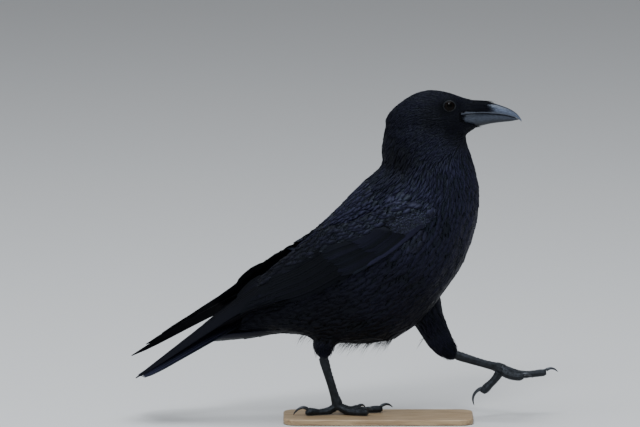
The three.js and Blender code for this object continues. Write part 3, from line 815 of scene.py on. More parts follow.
TRUNK = ["head", "neck", "breast", "belly", "rump"]
FLESH = TRUNK + ["thigh_right", "thigh_left"]
WING_NODES = [f"wing_{side}_{part}" for side in SIDES for part in ("coverts", "secondaries")]
EYE_NODES = [f"eye_{side}" for side in SIDES]
THIGH_LINES = {
    "right": [(14, -22, 128), (-13.4, -16, 88), (-20.8, -10.5, 68.5), (-21.1, -8.8, 59)],
    "left": [(50, 24, 150), (77.8, 28, 110), (94.3, 26, 74.4), (112.4, 24, 56.6)],
}


def nearest_gap(tree, points):
    """Each point's distance to a mesh."""
    return np.array([tree.find_nearest(Vector(p))[3] for p in points])


# What is added to the square of each station's distance, so that the nearest one doesn't count
# alone, and how steeply a station's say falls off.
STATION_BLUR = 16
STATION_FALLOFF = 1.6


def field_at(points):
    """The coat's lie, length, depth and painted sheen at points, blended from the body's stations."""
    stations = np.array(COAT_FIELD, float)
    place = points[:, [0, 2]] / MM - np.array([0, BASE_HEIGHT])
    gap = np.linalg.norm(place[:, None, :] - stations[None, :, :2], axis=2)
    weight = 1 / (gap**2 + STATION_BLUR) ** STATION_FALLOFF
    weight /= weight.sum(1, keepdims=True)
    angle = np.radians(stations[:, 2])
    lie = np.stack([weight @ np.cos(angle), np.zeros(len(points)), weight @ np.sin(angle)], 1)
    return lie, weight @ stations[:, 3], weight @ stations[:, 4], weight @ stations[:, 5]


def eye_frame(side):
    """An eye's centre, its axis outward, and two directions across it."""
    axis = unit((EYE["forward"], side, EYE["upward"]))
    across = unit(np.cross((0, 0, 1), axis))
    return np.array(at(EYE["x"], side * EYE["y"], EYE["z"])), axis, across, np.cross(axis, across)


# Where the bill's horn comes out of the feathers: x and height of the lower and upper limits,
# how far forward that begins, and how far inside the horn the skin lies there.
JAW_LINE = ([116, 122, 131, 146], [298.5, 295, 293, 293])
BRISTLE_LINE = ([116, 122, 131, 146], [306, 307, 308.5, 310])
JAW_START = 115.5
SKIN_INSIDE_HORN = 0.6


def blurred(mesh, values, rounds):
    """One value for each point, averaged with its neighbours' a number of times."""
    ends = np.empty(2 * len(mesh.edges), np.int32)
    mesh.edges.foreach_get("vertices", ends)
    first, second = ends.reshape(-1, 2).T
    size = len(values)
    count = np.bincount(ends, minlength=size) + 1
    for _ in range(rounds):
        total = values + np.bincount(first, values[second], size)
        total += np.bincount(second, values[first], size)
        values = total / count
    return values


# The range that smoothing's effect on the skin is taken to lie in, in millimetres.
LEAST_DRAWN, MOST_DRAWN = -0.5, 4


def drawn_in(points):
    """How far smoothing drew each point in under the solids, in millimetres."""
    tree = tree_of(merged_mesh(FLESH + WING_NODES))
    depths = []
    for point in points:
        place, normal, _, _ = tree.find_nearest(Vector(point))
        depths.append((place - Vector(point)).dot(normal) / MM)
    return np.clip(depths, LEAST_DRAWN, MOST_DRAWN)


def share_up_wing(x, z):
    """How far up the wing a place in side view lies, 0 at its low edge and 1 at its high edge."""
    rows = np.array(WING, float)[::-1]
    low_x, low_z, high_x, high_z = rows[:, [0, 2, 3, 5]].T
    low = np.interp(x, low_x, low_z)
    return (z - low) / (np.interp(x, high_x, high_z) - low)


# Behind this x the wing is thin, and its feathers follow the drawn shape rather than the skin.
WING_THIN = -78

# Where the scapulars' lower edge lies over the wing: x and share up the wing.
DRAPE_LINE = ([-60, -20, 3, 25, 50, 72, 86], [0.8, 0.72, 0.78, 0.71, 0.76, 0.84, 0.97])


# The coat down the thigh, by the share of its length: length of the feathers, depth of the skin.
THIGH_LENGTHS = ([0, 0.5, 1], [15, 9, 3.5])
THIGH_DEPTHS = ([0, 0.6, 1], [1.8, 0.8, 0.2])
# The sheen painted into the thigh feathers' colour.
THIGH_PAINTED_SHEEN = 0.3

# The coat along the wing, by the distance from its bend: the feathers' length, the skin's depth
# and the sheen painted into the feathers' colour; and where its small coverts end.
WING_LENGTHS = ([-5, 20, 45, 100], [3.2, 4.2, 6.0, 13])
WING_DEPTHS = ([-5, 20, 70, 130], [0.9, 1.6, 1.9, 1.7])
WING_PAINTED_SHEEN = ([0, 22, 45], [1.2, 0.75, 0.35])
SMALL_COVERTS_END = 44
DRAPED_LENGTH = 12
# The sheen painted into the draped scapulars' colour, by x.
DRAPED_PAINTED_SHEEN = ([-60, 0, 70], [0.15, 0.4, 0.9])
# How near the wing's solids the skin counts as wing, and how much nearer than to the trunk's.
ON_WING = (0.9 * MM, 1.2 * MM)

# Round the eye: how far out and how far back the skin is shaped, how wide its bare ring is, and
# by the distance from the eye's axis the feathers' length, the skin's height over the opening's
# rim, and how far the skin is drawn to that height.
ROUND_EYE = (12, -3)
BARE_RING = {"ahead": 6.3, "behind": 5.6, "ahead_from": 2}
EYE_LENGTHS = ([5, 11], [1.3, 2.6])
EYE_LEVELS = ([4.4, 5.3, 7, 9], [-1.8, -0.15, -0.2, -0.5])
EYE_PULL = ([6.5, 11.5], [1, 0])

# Rounds of averaging for the skin's depth and for what smoothing took, how much of the depth
# the feathers' own thickness makes up, and the least depth.
DEPTH_ROUNDS, DRAWN_ROUNDS = 6, 20
COAT_THICKNESS = 1.0
LEAST_DEPTH = 0.1

# The longest feather of the face, of the hood and of the collar.
REGION_LENGTHS = (3.1, 6.6, 11.2)
# The back's feathers with the most painted sheen: least painted sheen, its unevenness, least
# height, foremost x.
MANTLE = {"gloss": 0.6, "grain": 0.08, "height": 165, "front": 82}
# How nearly skin may face the way its coat lies and still grow feathers, and where the wing's
# inner face begins that grows none: behind this x, where the normal turns in by more than this.
ONWARD = 0.72
INNER_FACE = (-40, -0.1)
# The seed of the unevenness at the mantle's edge.
MANTLE_SEED = 5


def in_side_view(points):
    """Points' x and height above the soles, in millimetres."""
    return points[:, 0] / MM, points[:, 2] / MM - BASE_HEIGHT


def dress_thighs(coat, points, trunk):
    """The coat on the thighs, which lies down the leg and is shortest at the ankle."""
    for side in SIDES:
        gap = nearest_gap(tree_of(merged_mesh([f"thigh_{side}"])), points)
        line = np.array([at(*p) for p in THIGH_LINES[side]])
        on_thigh = gap < trunk
        run = line[-1] - line[0]
        share = np.clip((points - line[0]) @ run / (run @ run), 0, 1)[on_thigh]
        coat["lie"][on_thigh] = unit(run)
        coat["size"][on_thigh] = np.interp(share, *THIGH_LENGTHS)
        coat["depth"][on_thigh] = np.interp(share, *THIGH_DEPTHS)
        coat["gloss"][on_thigh] = THIGH_PAINTED_SHEEN


def dress_wings(coat, points, trunk):
    """The coat on the wings. Gives the parts that are wing, those that scapulars drape and
    those that small coverts take."""
    wing = nearest_gap(tree_of(merged_mesh(WING_NODES)), points)
    on_wing = (wing < ON_WING[0]) & (wing < trunk + ON_WING[1])
    bend = np.array(at(WING_BEND[0], 0, WING_BEND[1]))
    run = ((points - bend) @ np.array(WING_AXIS)) / MM
    coat["lie"][on_wing] = WING_AXIS
    coat["size"][on_wing] = np.interp(run[on_wing], *WING_LENGTHS)
    coat["depth"][on_wing] = np.interp(run[on_wing], *WING_DEPTHS)
    coat["gloss"][on_wing] = np.interp(run[on_wing], *WING_PAINTED_SHEEN)
    x, z = in_side_view(points)
    up_wing = share_up_wing(x, z - np.where(points[:, 1] > 0, left_wing_lift(x), 0))
    draped = on_wing & (up_wing > np.interp(x, *DRAPE_LINE))
    coat["grown"][on_wing & ~draped] = 0
    coat["size"][draped] = DRAPED_LENGTH
    coat["gloss"][draped] = np.interp(x[draped], *DRAPED_PAINTED_SHEEN)
    return on_wing, draped, on_wing & ~draped & (run < SMALL_COVERTS_END)


def shape_round_eyes(coat, points):
    """Clears the coat off the eyes and draws the skin down to them."""
    rim = math.sqrt(EYE["radius"] ** 2 - EYE["opening"] ** 2)
    for side in SIDES.values():
        centre, axis, _, _ = eye_frame(side)
        offset = points - centre
        height = offset @ axis / MM
        ring = np.linalg.norm(offset - np.outer(offset @ axis, axis), axis=1) / MM
        near = (ring < ROUND_EYE[0]) & (height > ROUND_EYE[1])
        ahead = (points[:, 0] - centre[0]) / MM > BARE_RING["ahead_from"]
        bare = np.where(ahead, BARE_RING["ahead"], BARE_RING["behind"])
        coat["grown"][near & (ring < bare)] = 0
        shorter = np.interp(ring[near], *EYE_LENGTHS)
        coat["size"][near] = np.minimum(coat["size"][near], shorter)
        level = np.interp(ring[near], *EYE_LEVELS)
        pull = np.interp(ring[near], *EYE_PULL)
        points[near] += np.outer((rim + level - height[near]) * pull * MM, axis)


def clear_hidden(coat, points, normals, on_wing):
    """Grows no feathers on the wings' inner faces and thin rear, nor on ends of the skin."""
    x = points[:, 0] / MM
    inward = normals[:, 1] * np.sign(points[:, 1]) < INNER_FACE[1]
    coat["grown"][on_wing & (x < INNER_FACE[0]) & inward] = 0
    coat["grown"][on_wing & (x < WING_THIN)] = 0
    onward = (normals * coat["lie"]).sum(1) / np.linalg.norm(coat["lie"], axis=1)
    coat["grown"][onward > ONWARD] = 0


def store_regions(mesh, coat, points, draped, small):
    """Stores where each of the coat's pieces grows."""
    x, z = in_side_view(points)
    grain = np.random.default_rng(MANTLE_SEED).uniform(-MANTLE["grain"], MANTLE["grain"], len(points))
    back = (coat["gloss"] + grain > MANTLE["gloss"]) & (z > MANTLE["height"])
    back = (back & (x < MANTLE["front"])) | draped
    face, hood, collar = REGION_LENGTHS
    size, grown = coat["size"], coat["grown"]
    regions = {
        "face": grown * (size < face),
        "hood": grown * (size >= face) * (size < hood),
        "collar": grown * (size >= hood) * (size < collar),
        "body": grown * (size >= collar) * ~back,
        "mantle": grown * (size >= collar) * back,
        "shoulder": small,
    }
    for name, values in regions.items():
        add_attribute(mesh, name, values)


def describe_skin(skin):
    """Stores the coat's attributes on the skin, then shrinks it under the coat."""
    mesh = skin.data
    points, normals = points_of(mesh), normals_of(mesh)
    coat = dict(zip(("lie", "size", "depth", "gloss"), field_at(points)))
    coat["grown"] = np.ones(len(points))
    drawn = blurred(mesh, drawn_in(points), DRAWN_ROUNDS)
    trunk = nearest_gap(tree_of(merged_mesh(TRUNK)), points)
    dress_thighs(coat, points, trunk)
    on_wing, draped, small = dress_wings(coat, points, trunk)
    depth = blurred(mesh, coat["depth"], DEPTH_ROUNDS) - COAT_THICKNESS
    depth = np.maximum(depth, LEAST_DEPTH) - drawn
    points -= normals * (depth * MM)[:, None]
    shape_round_eyes(coat, points)
    fill_throat(points)
    x, z = in_side_view(points)
    jaw = (x > JAW_START) & (z > np.interp(x, *JAW_LINE)) & (z < np.interp(x, *BRISTLE_LINE))
    coat["grown"][jaw] = 0
    clear_hidden(coat, points, normals, on_wing)
    store_regions(mesh, coat, points, draped, small)
    add_attribute(mesh, "lie", coat["lie"], "FLOAT_VECTOR")
    add_attribute(mesh, "size", coat["size"] * MM)
    # The sheen that the plumage paints into the feathers' colour.
    add_attribute(mesh, "gloss", coat["gloss"])
    width = horn_half_width(x[jaw], z[jaw]) - SKIN_INSIDE_HORN
    points[jaw, 1] = np.clip(points[jaw, 1], -width * MM, width * MM)
    mesh.vertices.foreach_set("co", points.astype(np.float32).ravel())
    mesh.update()


# Where the throat is filled out: its corner, how far round it, how much, and which way.
THROAT = {"x": 118, "z": 284.5, "reach": 5.5, "push": 3.2, "way": (0.85, -0.5)}


def fill_throat(points):
    """Rounds out the corner between chin and throat, where loose feathers bridge it."""
    offset = points[:, [0, 2]] / MM - (THROAT["x"], THROAT["z"] + BASE_HEIGHT)
    gap = (offset**2).sum(1) / THROAT["reach"] ** 2
    push = THROAT["push"] * np.exp(-gap / 2) * MM
    points[:, 0] += push * THROAT["way"][0]
    points[:, 2] += push * THROAT["way"][1]


def horn_half_width(x, z):
    """Half the bill's width at places given by x and height."""
    half = np.zeros(len(x))
    for rows in (UPPER_BILL, LOWER_BILL):
        edge, ridge, widest = (np.interp(x, *np.array(rows)[:, [0, i]].T) for i in (1, 2, 3))
        share = (z - edge) / (ridge - edge)
        inside = (share >= 0) & (share < 1)
        arch = np.sqrt(1 - np.clip(share, 0, 1) ** (2 / BILL_FULLNESS))
        half[inside] = (widest * arch)[inside]
    return np.maximum(half, 1.0)


def merged_mesh(nodes):
    """The merged mesh of copied CAD nodes, without an object."""
    piece = merged_copy("copy", nodes)
    mesh = piece.data
    bpy.data.objects.remove(piece)
    return mesh


# How sharp a fold may be inside one island of the map, and the gap between islands.
UNWRAP_ANGLE = math.radians(66)
ISLAND_GAP = 0.004


def unwrap(piece):
    """Lays the piece's own surface out flat in the OFBake map."""
    bpy.ops.object.select_all(action="DESELECT")
    piece.select_set(True)
    bpy.context.view_layer.objects.active = piece
    piece.data.uv_layers.new(name="OFBake")
    bpy.ops.object.mode_set(mode="EDIT")
    bpy.ops.mesh.select_all(action="SELECT")
    bpy.ops.uv.smart_project(angle_limit=UNWRAP_ANGLE, island_margin=ISLAND_GAP)
    bpy.ops.object.mode_set(mode="OBJECT")


# A coat feather's least width and thickness, as shares, and how far its underside bulges.
LEAST_WIDTH = 0.03
LEAST_THICKNESS = 0.08
UNDERSIDE = 0.4


def feather_pattern(name, profile, width, thick, cup):
    """One closed feather, one unit long: half widths along it, as shares of its width."""
    rings, along, across, level = [], [], [], []
    for share, half in profile:
        half_width = max(half, LEAST_WIDTH) * width / 2
        body = thick * max(half, LEAST_THICKNESS)
        edge, under = -cup * half, -body * UNDERSIDE
        for side, rise in ((-1, edge), (0, body), (1, edge), (0, under)):
            rings.append((share, side * half_width, rise))
            along.append(share)
            across.append(side)
            level.append(rise)
    faces = []
    rows = len(profile)
    for row in range(rows - 1):
        for i in range(4):
            j = (i + 1) % 4
            a = row * 4
            faces.append((a + i, a + 4 + i, a + 4 + j, a + j))
    faces.append((0, 1, 2, 3))
    last = (rows - 1) * 4
    faces.append((last + 3, last + 2, last + 1, last))
    mesh = bpy.data.meshes.new(name)
    mesh.from_pydata(rings, [], faces)
    mesh.update()
    for label, values in (("along", along), ("across", across), ("level", level)):
        add_attribute(mesh, label, values)
    return link(name, mesh)


# Feather outlines: share of the length and half width there.
ROUNDED = [(0, 0.35), (0.3, 0.9), (0.62, 1.0), (0.87, 0.66), (1.0, 0.14)]
POINTED = [(0, 0.4), (0.3, 1.0), (0.65, 0.7), (1.0, 0.06)]
LOOSE = [(0, 0.4), (0.35, 1.0), (0.7, 0.78), (1.0, 0.1)]
# Feather patterns: outline, width, thickness and cup, as shares of the length.
PATTERNS = {
    "fine": (POINTED, 0.27, 0.02, 0.02),
    "small": (POINTED, 0.29, 0.02, 0.02),
    "hackle": (POINTED, 0.32, 0.02, 0.02),
    "contour": (LOOSE, 0.48, 0.010, 0.02),
    "scapular": (LOOSE, 0.55, 0.008, 0.0),
    "covert": (ROUNDED, 0.62, 0.008, 0.0),
}


# Long feathers, bristles and fringes on guide lines

# Points along a long vane, and given ones along the lines of tail, coverts and fine vanes.
STEPS = 16
CONTROLS = 5
# Vane outlines: share of the length and half width there.
FEATHER_END = [
    (0, 0.45), (0.12, 0.8), (0.35, 1.0), (0.8, 0.97), (0.9, 0.82), (0.97, 0.5), (1, 0.12),
]
QUILL_END = [(0, 0.5), (0.1, 0.85), (0.35, 1.0), (0.6, 0.92), (0.85, 0.6), (0.95, 0.36), (1, 0.1)]
BRISTLE_END = [(0, 1.0), (0.5, 0.75), (1, 0.12)]


# What each guide line stores; one value is the sheen painted into its vane's colour.
GUIDE_VALUES = (
    "facing", "half", "root", "along", "chance", "gloss", "lift", "bedded", "roll",
)


class Guides:
    """Guide lines for vanes, gathered on one skin and then grown into one piece."""

    def __init__(self, skin, seed, bed=None):
        self.skin = skin
        self.skin_tree = tree_of(skin.data)
        self.tree = tree_of(bed.data) if bed else self.skin_tree
        self.uv = skin.data.uv_layers["OFBake"].data
        self.random = np.random.default_rng(seed)
        self.points, self.edges = [], []
        self.stored = {name: [] for name in GUIDE_VALUES}

    def settle(self, point, lift):
        """The point on the skin nearest to this one, raised along the normal, and the normal."""
        place, normal, _, _ = self.tree.find_nearest(Vector(point))
        return np.array(place + normal * lift * MM), np.array(normal)

    def root_patch(self, point):
        """The skin's unwrapped place under a point."""
        face = self.skin.data.polygons[self.skin_tree.find_nearest(Vector(point))[2]]
        return np.mean([self.uv[loop].uv for loop in face.loop_indices], axis=0)

    def add(self, line, facing, half, profile, gloss, lift=0.0, bedded=0.0, roll=0.0):
        """One vane: its line, the way it faces, its half width in millimetres and its outline.
        Where it is bedded, it lies on the skin at its lift in millimetres, with a roll."""
        shares = np.linspace(0, 1, len(line))
        first = len(self.points)
        self.points += [tuple(p) for p in line]
        self.edges += [(first + i, first + i + 1) for i in range(len(line) - 1)]
        widths = np.interp(shares, *np.array(profile).T) * half * MM
        self.stored["facing"] += [tuple(f) for f in np.broadcast_to(facing, (len(line), 3))]
        self.stored["half"] += list(widths)
        self.stored["root"] += [(*self.root_patch(line[0]), 0)] * len(line)
        self.stored["along"] += list(shares)
        self.stored["chance"] += [self.random.random()] * len(line)
        # The sheen painted into the vane's colour.
        self.stored["gloss"] += [gloss] * len(line)
        self.stored["lift"] += list(np.broadcast_to(lift, len(line)) * MM)
        self.stored["bedded"] += list(np.broadcast_to(bedded, len(line)))
        self.stored["roll"] += [roll] * len(line)

    def grow(self, name, material, steps=STEPS, thickness=0.03, shaft=0.02, hollow=0.05):
        """The finished piece."""
        mesh = bpy.data.meshes.new(name)
        mesh.from_pydata(self.points, self.edges, [])
        for label, values in self.stored.items():
            kind = "FLOAT_VECTOR" if label in ("facing", "root") else "FLOAT"
            add_attribute(mesh, label, values, kind)
        inputs = {
            "Bed": self.skin,
            "Points": steps,
            "Thickness": thickness,
            "Shaft": shaft,
            "Hollow": hollow,
            "Material": material,
        }
        return grown(link(name, mesh), TREES["vanes"], inputs)


def left_wing_lift(x):
    """How much higher than the right one the left wing is held at a place along it."""
    height, start, over, softness = LEFT_WING_LIFT
    behind = np.maximum(0.0, start - x) / over
    return height * (1 - np.exp(-(behind**softness)))


def wing_point(side, x, t):
    """A point of the wing's outer face, at a place x along it and a share t from its low edge,
    and the way the face looks there."""
    rows = np.array(WING, float)[::-1]
    low_x, low_y, low_z, high_x, high_y, high_z, bulge = (
        np.interp(x, rows[:, 0], column) for column in rows.T
    )
    low = np.array([low_x, low_y, low_z])
    chord = np.array([high_x, high_y, high_z]) - low
    outward = unit([0, chord[2], -chord[1]])
    point = low + chord * t + outward * bulge * math.sin(math.pi * t)
    if side > 0:
        point[2] += left_wing_lift(point[0])
    outward[1] *= side
    return np.array(at(point[0], side * point[1], point[2])), outward


# How far a root is sunk in the skin, how deep the skin lies under the wing's drawn face, how
# steeply free quills face up, and over what length behind the skin a vane comes off it.
ROOT_SINK = -0.9
SKIN_UNDER_WING = 0.7
QUILL_TILT = 0.8
FREE_OVER = 12
# Places along a wing vane, how much of it a free quill spends on them, and over what share of it
# the root comes up.
WING_STEPS = 7
ON_THE_WING = 0.5
ROOT_SHARE = 0.2


def wing_vane(guides, side, root, tip, half, lifts, profile, gloss, roll=0.0, end=None):
    """A vane along the wing from root to tip, each given as x and share up the wing. Its root
    is sunk in the skin. An end in free air carries a quill on past the wing to that point."""
    line, facings = [], []
    for share in np.linspace(0, 1, WING_STEPS):
        x, t = between(root, tip, share)
        lift = between(*lifts, share)
        point, normal = wing_point(side, x, t)
        if x > WING_THIN:
            point, normal = guides.settle(point + normal * MM, lift)
        else:
            point = point + normal * (lift - SKIN_UNDER_WING) * MM
        line.append(point)
        facings.append(normal)
    if end is not None:
        line.append(np.array(at(end[0], side * end[1], end[2])))
        facings.append(np.array([0, side * math.cos(QUILL_TILT), math.sin(QUILL_TILT)]))
    shares = np.linspace(0, 1, STEPS)
    line = flowing(line, STEPS)
    knots = np.linspace(0, 1 if end is None else ON_THE_WING, WING_STEPS)
    if end is not None:
        knots = np.append(knots, 1)
    facing = np.stack([np.interp(shares, knots, column) for column in np.array(facings).T], 1)
    lift = np.interp(shares, [0, ROOT_SHARE, 1], [ROOT_SINK, *lifts])
    bedded = np.interp(line[:, 0] / MM, [WING_THIN - FREE_OVER, WING_THIN], [0, 1])
    guides.add(line, facing, half, profile, gloss, lift, bedded, roll * side)


# Outer quills, longest first: the first one's root and the place where it leaves the wing, each
# as x and share up the wing, how both change from quill to quill, and the half width.
QUILL_ROOT, QUILL_ROOT_STEP = (-10, 0.30), (-3, 0.06)
QUILL_LEAVES = {
    "right": ((-96, 0.34), (0, 0.07), 6.0),
    "left": ((-96, 0.06), (0, 0.12), 7.2),
}
QUILL_LIFTS, QUILL_LIFT_STEP = (-0.2, 0.1), (0, 0.12)
# The sheen painted into the quills' colour.
QUILL_PAINTED_SHEEN = 0.08

# Rows of the folded wing, lowest layer first: how many, the first and last root (x, share up
# the wing), the first and last tip, half widths, how high root and tip lie over the skin at the
# row's start and end, and the sheen painted into their colour.
WING_ROWS = [
    (14, (30, 0.18), (-4, 0.70), (-108, 0.16), (-76, 0.80), (4.4, 5.6), (0.2, 0.5), (0.35, 0.75), 0.1),
    (4, (8, 0.68), (-2, 0.74), (-74, 0.70), (-44, 0.78), (6.0, 6.4), (0.5, 0.7), (0.7, 0.9), 0.15),
    (6, (-30, 0.76), (-46, 0.96), (-112, 0.66), (-110, 0.97), (5.6, 5.0), (0.3, 0.9), (0.5, 1.3), 0.12),
    (22, (58, 0.10), (22, 0.74), (0, 0.08), (-20, 0.76), (3.2, 4.0), (0.4, 0.5), (0.6, 0.8), 0.2),
    (24, (70, 0.10), (44, 0.78), (36, 0.08), (8, 0.74), (2.8, 3.4), (0.5, 0.6), (0.75, 0.95), 0.25),
    (6, (86, 0.10), (70, 0.03), (34, 0.04), (8, 0.03), (3.0, 3.6), (0.6, 0.5), (1.0, 0.8), 0.7),
]
# How the tips crowd towards a row's start, how uneven they are along and up the wing, how much
# higher each row's end lies than its start, and how uneven that is.
TIP_CROWDING = 1.3
TIP_SHAKE = (2.4, 0.006)
ROW_RISE, RISE_SHAKE = 0.12, 0.03
WING_ROLL = 0.09


def add_wing_feathers(guides, side_name):
    """The folded wing's quills, flight feathers and rows of coverts."""
    side = SIDES[side_name]
    for order, tip in enumerate(reversed(QUILL_TIPS[side_name])):
        root = np.add(QUILL_ROOT, np.multiply(QUILL_ROOT_STEP, order))
        leave, step, half = QUILL_LEAVES[side_name]
        leave = np.add(leave, np.multiply(step, order))
        lifts = np.add(QUILL_LIFTS, np.multiply(QUILL_LIFT_STEP, order))
        look = (QUILL_END, QUILL_PAINTED_SHEEN, WING_ROLL)
        wing_vane(guides, side, root, leave, half, lifts, *look, tip)
    for count, first_root, last_root, first_tip, last_tip, halves, starts, ends, gloss in WING_ROWS:
        for i in range(count):
            share = i / (count - 1)
            shake = guides.random.uniform(-1, 1, 3)
            root = between(first_root, last_root, share)
            tip = between(first_tip, last_tip, share**TIP_CROWDING) + shake[:2] * TIP_SHAKE
            half = between(*halves, share)
            lift = ROW_RISE * share + RISE_SHAKE * shake[2]
            lifts = (between(*starts, share) + lift, between(*ends, share) + lift)
            wing_vane(guides, side, root, tip, half, lifts, FEATHER_END, gloss, WING_ROLL)


# Lining feathers between the wing's low edge and the rump: how far in from the edge each lies
# and how much lower than the one before it, the x of their bedded points, how far up the wing
# these are, where the free end lies from there, half width, tilt and the sheen painted into
# their colour.
LINING_INSETS = (3, 11, 19)
LINING_DROP = 0.8
LINING_RUN = (-52, -70, -88, -108)
LINING_SHARE = 0.05
LINING_END = (-16, -4, -9)
LINING_HALF, LINING_TILT, LINING_PAINTED_SHEEN = 6.5, 0.3, 0.05


def add_wing_lining(guides, side_name):
    """Feathers under the wing's low edge, which close the slot between wing and rump."""
    side = SIDES[side_name]
    for order, inset in enumerate(LINING_INSETS):
        spots = []
        for x in LINING_RUN:
            spot = wing_point(side, x, LINING_SHARE)[0]
            spots.append(spot - np.array((0, side * inset, LINING_DROP * order)) * MM)
        spots.append(spots[-1] + np.array(LINING_END) * (1, side, 1) * MM)
        way = (0, -side * LINING_TILT, 1)
        guides.add(flowing(spots, STEPS), way, LINING_HALF, FEATHER_END, LINING_PAINTED_SHEEN)


# Coverts over and under the tail's base: the middle one's path in side view, how far out the
# outermost one lies, and which way they face.
TAIL_COVERTS = [
    ([(-78, 139), (-96, 119.5), (-113, 104.5), (-136, 90.5)], 12, 1),
    ([(-70, 82), (-98, 78.5), (-122, 76.5), (-140, 72)], 13, -1),
]
COVERTS_PER_SIDE = 5
# The coverts' half width, and the sheen painted into their colour.
COVERT_HALF, COVERT_PAINTED_SHEEN = 4.6, 0.2
# How far from the middle the first covert lies, how much shorter the second row is, how far
# every second covert is drawn back, and how the rows lie over each other and curve down.
COVERT_START = 1.2
COVERT_SHORTER = 0.3
COVERT_STAGGER = 3
COVERT_LAYERS = (0.5, 0.25)
COVERT_CURVE, COVERT_TILT = 0.02, 0.05


def add_tail_coverts(guides):
    """Two overlapping rows of coverts above the tail's base and two below it."""
    shares = np.linspace(0, 1, CONTROLS)
    for path, spread, facing in TAIL_COVERTS:
        for row in (0, 1):
            steps = shares * (1 - COVERT_SHORTER * row) * (len(path) - 1)
            x, z = (np.interp(steps, range(len(path)), column) for column in np.array(path).T)
            for side in SIDES.values():
                for i in range(COVERTS_PER_SIDE):
                    y = side * (COVERT_START + spread * i / (COVERTS_PER_SIDE - 1))
                    second = i % 2
                    level = COVERT_LAYERS[0] * row + COVERT_LAYERS[1] * second
                    rise = facing * (level - COVERT_CURVE * y * y)
                    back = COVERT_STAGGER * second
                    spots = [at(a - back, y, b + rise) for a, b in zip(x, z)]
                    spots[0] = guides.settle(spots[0], ROOT_SINK)[0]
                    way = (0, COVERT_TILT * y, facing)
                    guides.add(flowing(spots, STEPS), way, COVERT_HALF, FEATHER_END, COVERT_PAINTED_SHEEN)


# Tail feathers on each side, how much lower each lies than the one before it, and the left side
# than the right, how high root and tip lie over the solids, tilt, half width and the sheen
# painted into their colour.
TAIL_PER_SIDE = 6
TAIL_DROP, TAIL_OFFSET = 0.5, 0.25
TAIL_RISE, TAIL_SINK = 1.2, 0.6
TAIL_TILT, TAIL_HALF, TAIL_PAINTED_SHEEN = 0.12, 8.2, 0.75


def add_tail_feathers(guides):
    """Twelve tail feathers, the middle pair on top."""
    (root_m, tip_m), (root_o, tip_o) = TAIL["middle"], TAIL["outer"]
    for side in SIDES.values():
        for i in range(TAIL_PER_SIDE):
            share = i / (TAIL_PER_SIDE - 1)
            root, tip = between(root_m, root_o, share), between(tip_m, tip_o, share)
            drop = TAIL_DROP * i + (TAIL_OFFSET if side > 0 else 0)
            controls = []
            for step in np.linspace(0, 1, CONTROLS):
                x, y, z = between(root, tip, step)
                controls.append(at(x, side * y, z - drop + TAIL_RISE - TAIL_SINK * step))
            facing = (0, side * TAIL_TILT * share, 1)
            guides.add(flowing(controls, STEPS), facing, TAIL_HALF, FEATHER_END, TAIL_PAINTED_SHEEN)


# Fine vanes: how their lengths crowd towards the short end, and their widths' least share and
# how much more it may be.
FINE_CROWDING = 1.6
FINE_WIDTHS = (0.7, 0.6)
FINE_STEPS = 6


def scattered_lines(guides, count, start, along, length, half, lift, gloss, loose, lowest=0):
    """Fine vanes: roots from a function of two random shares, laid a given way. Loose ones
    spread and droop. Roots that fall below the lowest height are left out."""
    for _ in range(count):
        u, v, w, s = guides.random.random(4)
        root, normal = guides.settle(start(u, v), lift[0])
        if root[2] / MM - BASE_HEIGHT < lowest:
            continue
        way = unit(np.array(along(u, v)) + guides.random.uniform(-loose, loose, 3))
        size = between(*length, w**FINE_CROWDING) * MM
        line = []
        for step in np.linspace(0, 1, CONTROLS):
            point = root + way * size * step + np.array((0, 0, -loose * size * step**2 / 2))
            place, outward, _, _ = guides.tree.find_nearest(Vector(point))
            height = between(*lift, step) * MM
            if (Vector(point) - place).dot(outward) < height:
                point = np.array(place + outward * height)
            line.append(point)
        wide = half * (FINE_WIDTHS[0] + FINE_WIDTHS[1] * s)
        guides.add(flowing(line, FINE_STEPS), normal, wide, BRISTLE_END, gloss)


# Bill, eyes, legs and base

# The halves of the bill, from the face to the tip: x, the height of the cutting edge and of the
# ridge, and half the width.
UPPER_BILL = [
    (113.5, 303, 317.2, 12.6),
    (123.5, 304.5, 317, 10.4),
    (135.5, 305, 316, 8.5),
    (146.5, 304.5, 314.6, 7.1),
    (157.5, 303.3, 311.3, 5.6),
    (167, 301.2, 307.2, 3.9),
    (172.3, 299.3, 303.4, 2.6),
    (175, 297.4, 300.2, 1.6),
    (176.8, 295.4, 297.2, 0.6),
]
LOWER_BILL = [
    (113.5, 302.6, 288.5, 12.4),
    (123.5, 304.1, 289, 10.2),
    (135.5, 304.6, 291, 8.1),
    (146.5, 304.1, 293.5, 6.4),
    (157.5, 302.9, 295, 4.9),
    (167, 300.8, 296, 3.2),
    (171.5, 299, 296.9, 2),
    (174, 297.9, 297.3, 0.8),
]
# How full the bill's section is, its sides and rings, how far up the pale wear of the edge
# reaches, and the hollow inside: its sides and its depth as a share of the height.
BILL_FULLNESS = 0.85
BILL_SIDES, BILL_RINGS = 22, 44
EDGE_REACH = 1.6
HOLLOW_SIDES, HOLLOW_DEPTH = 8, 0.22


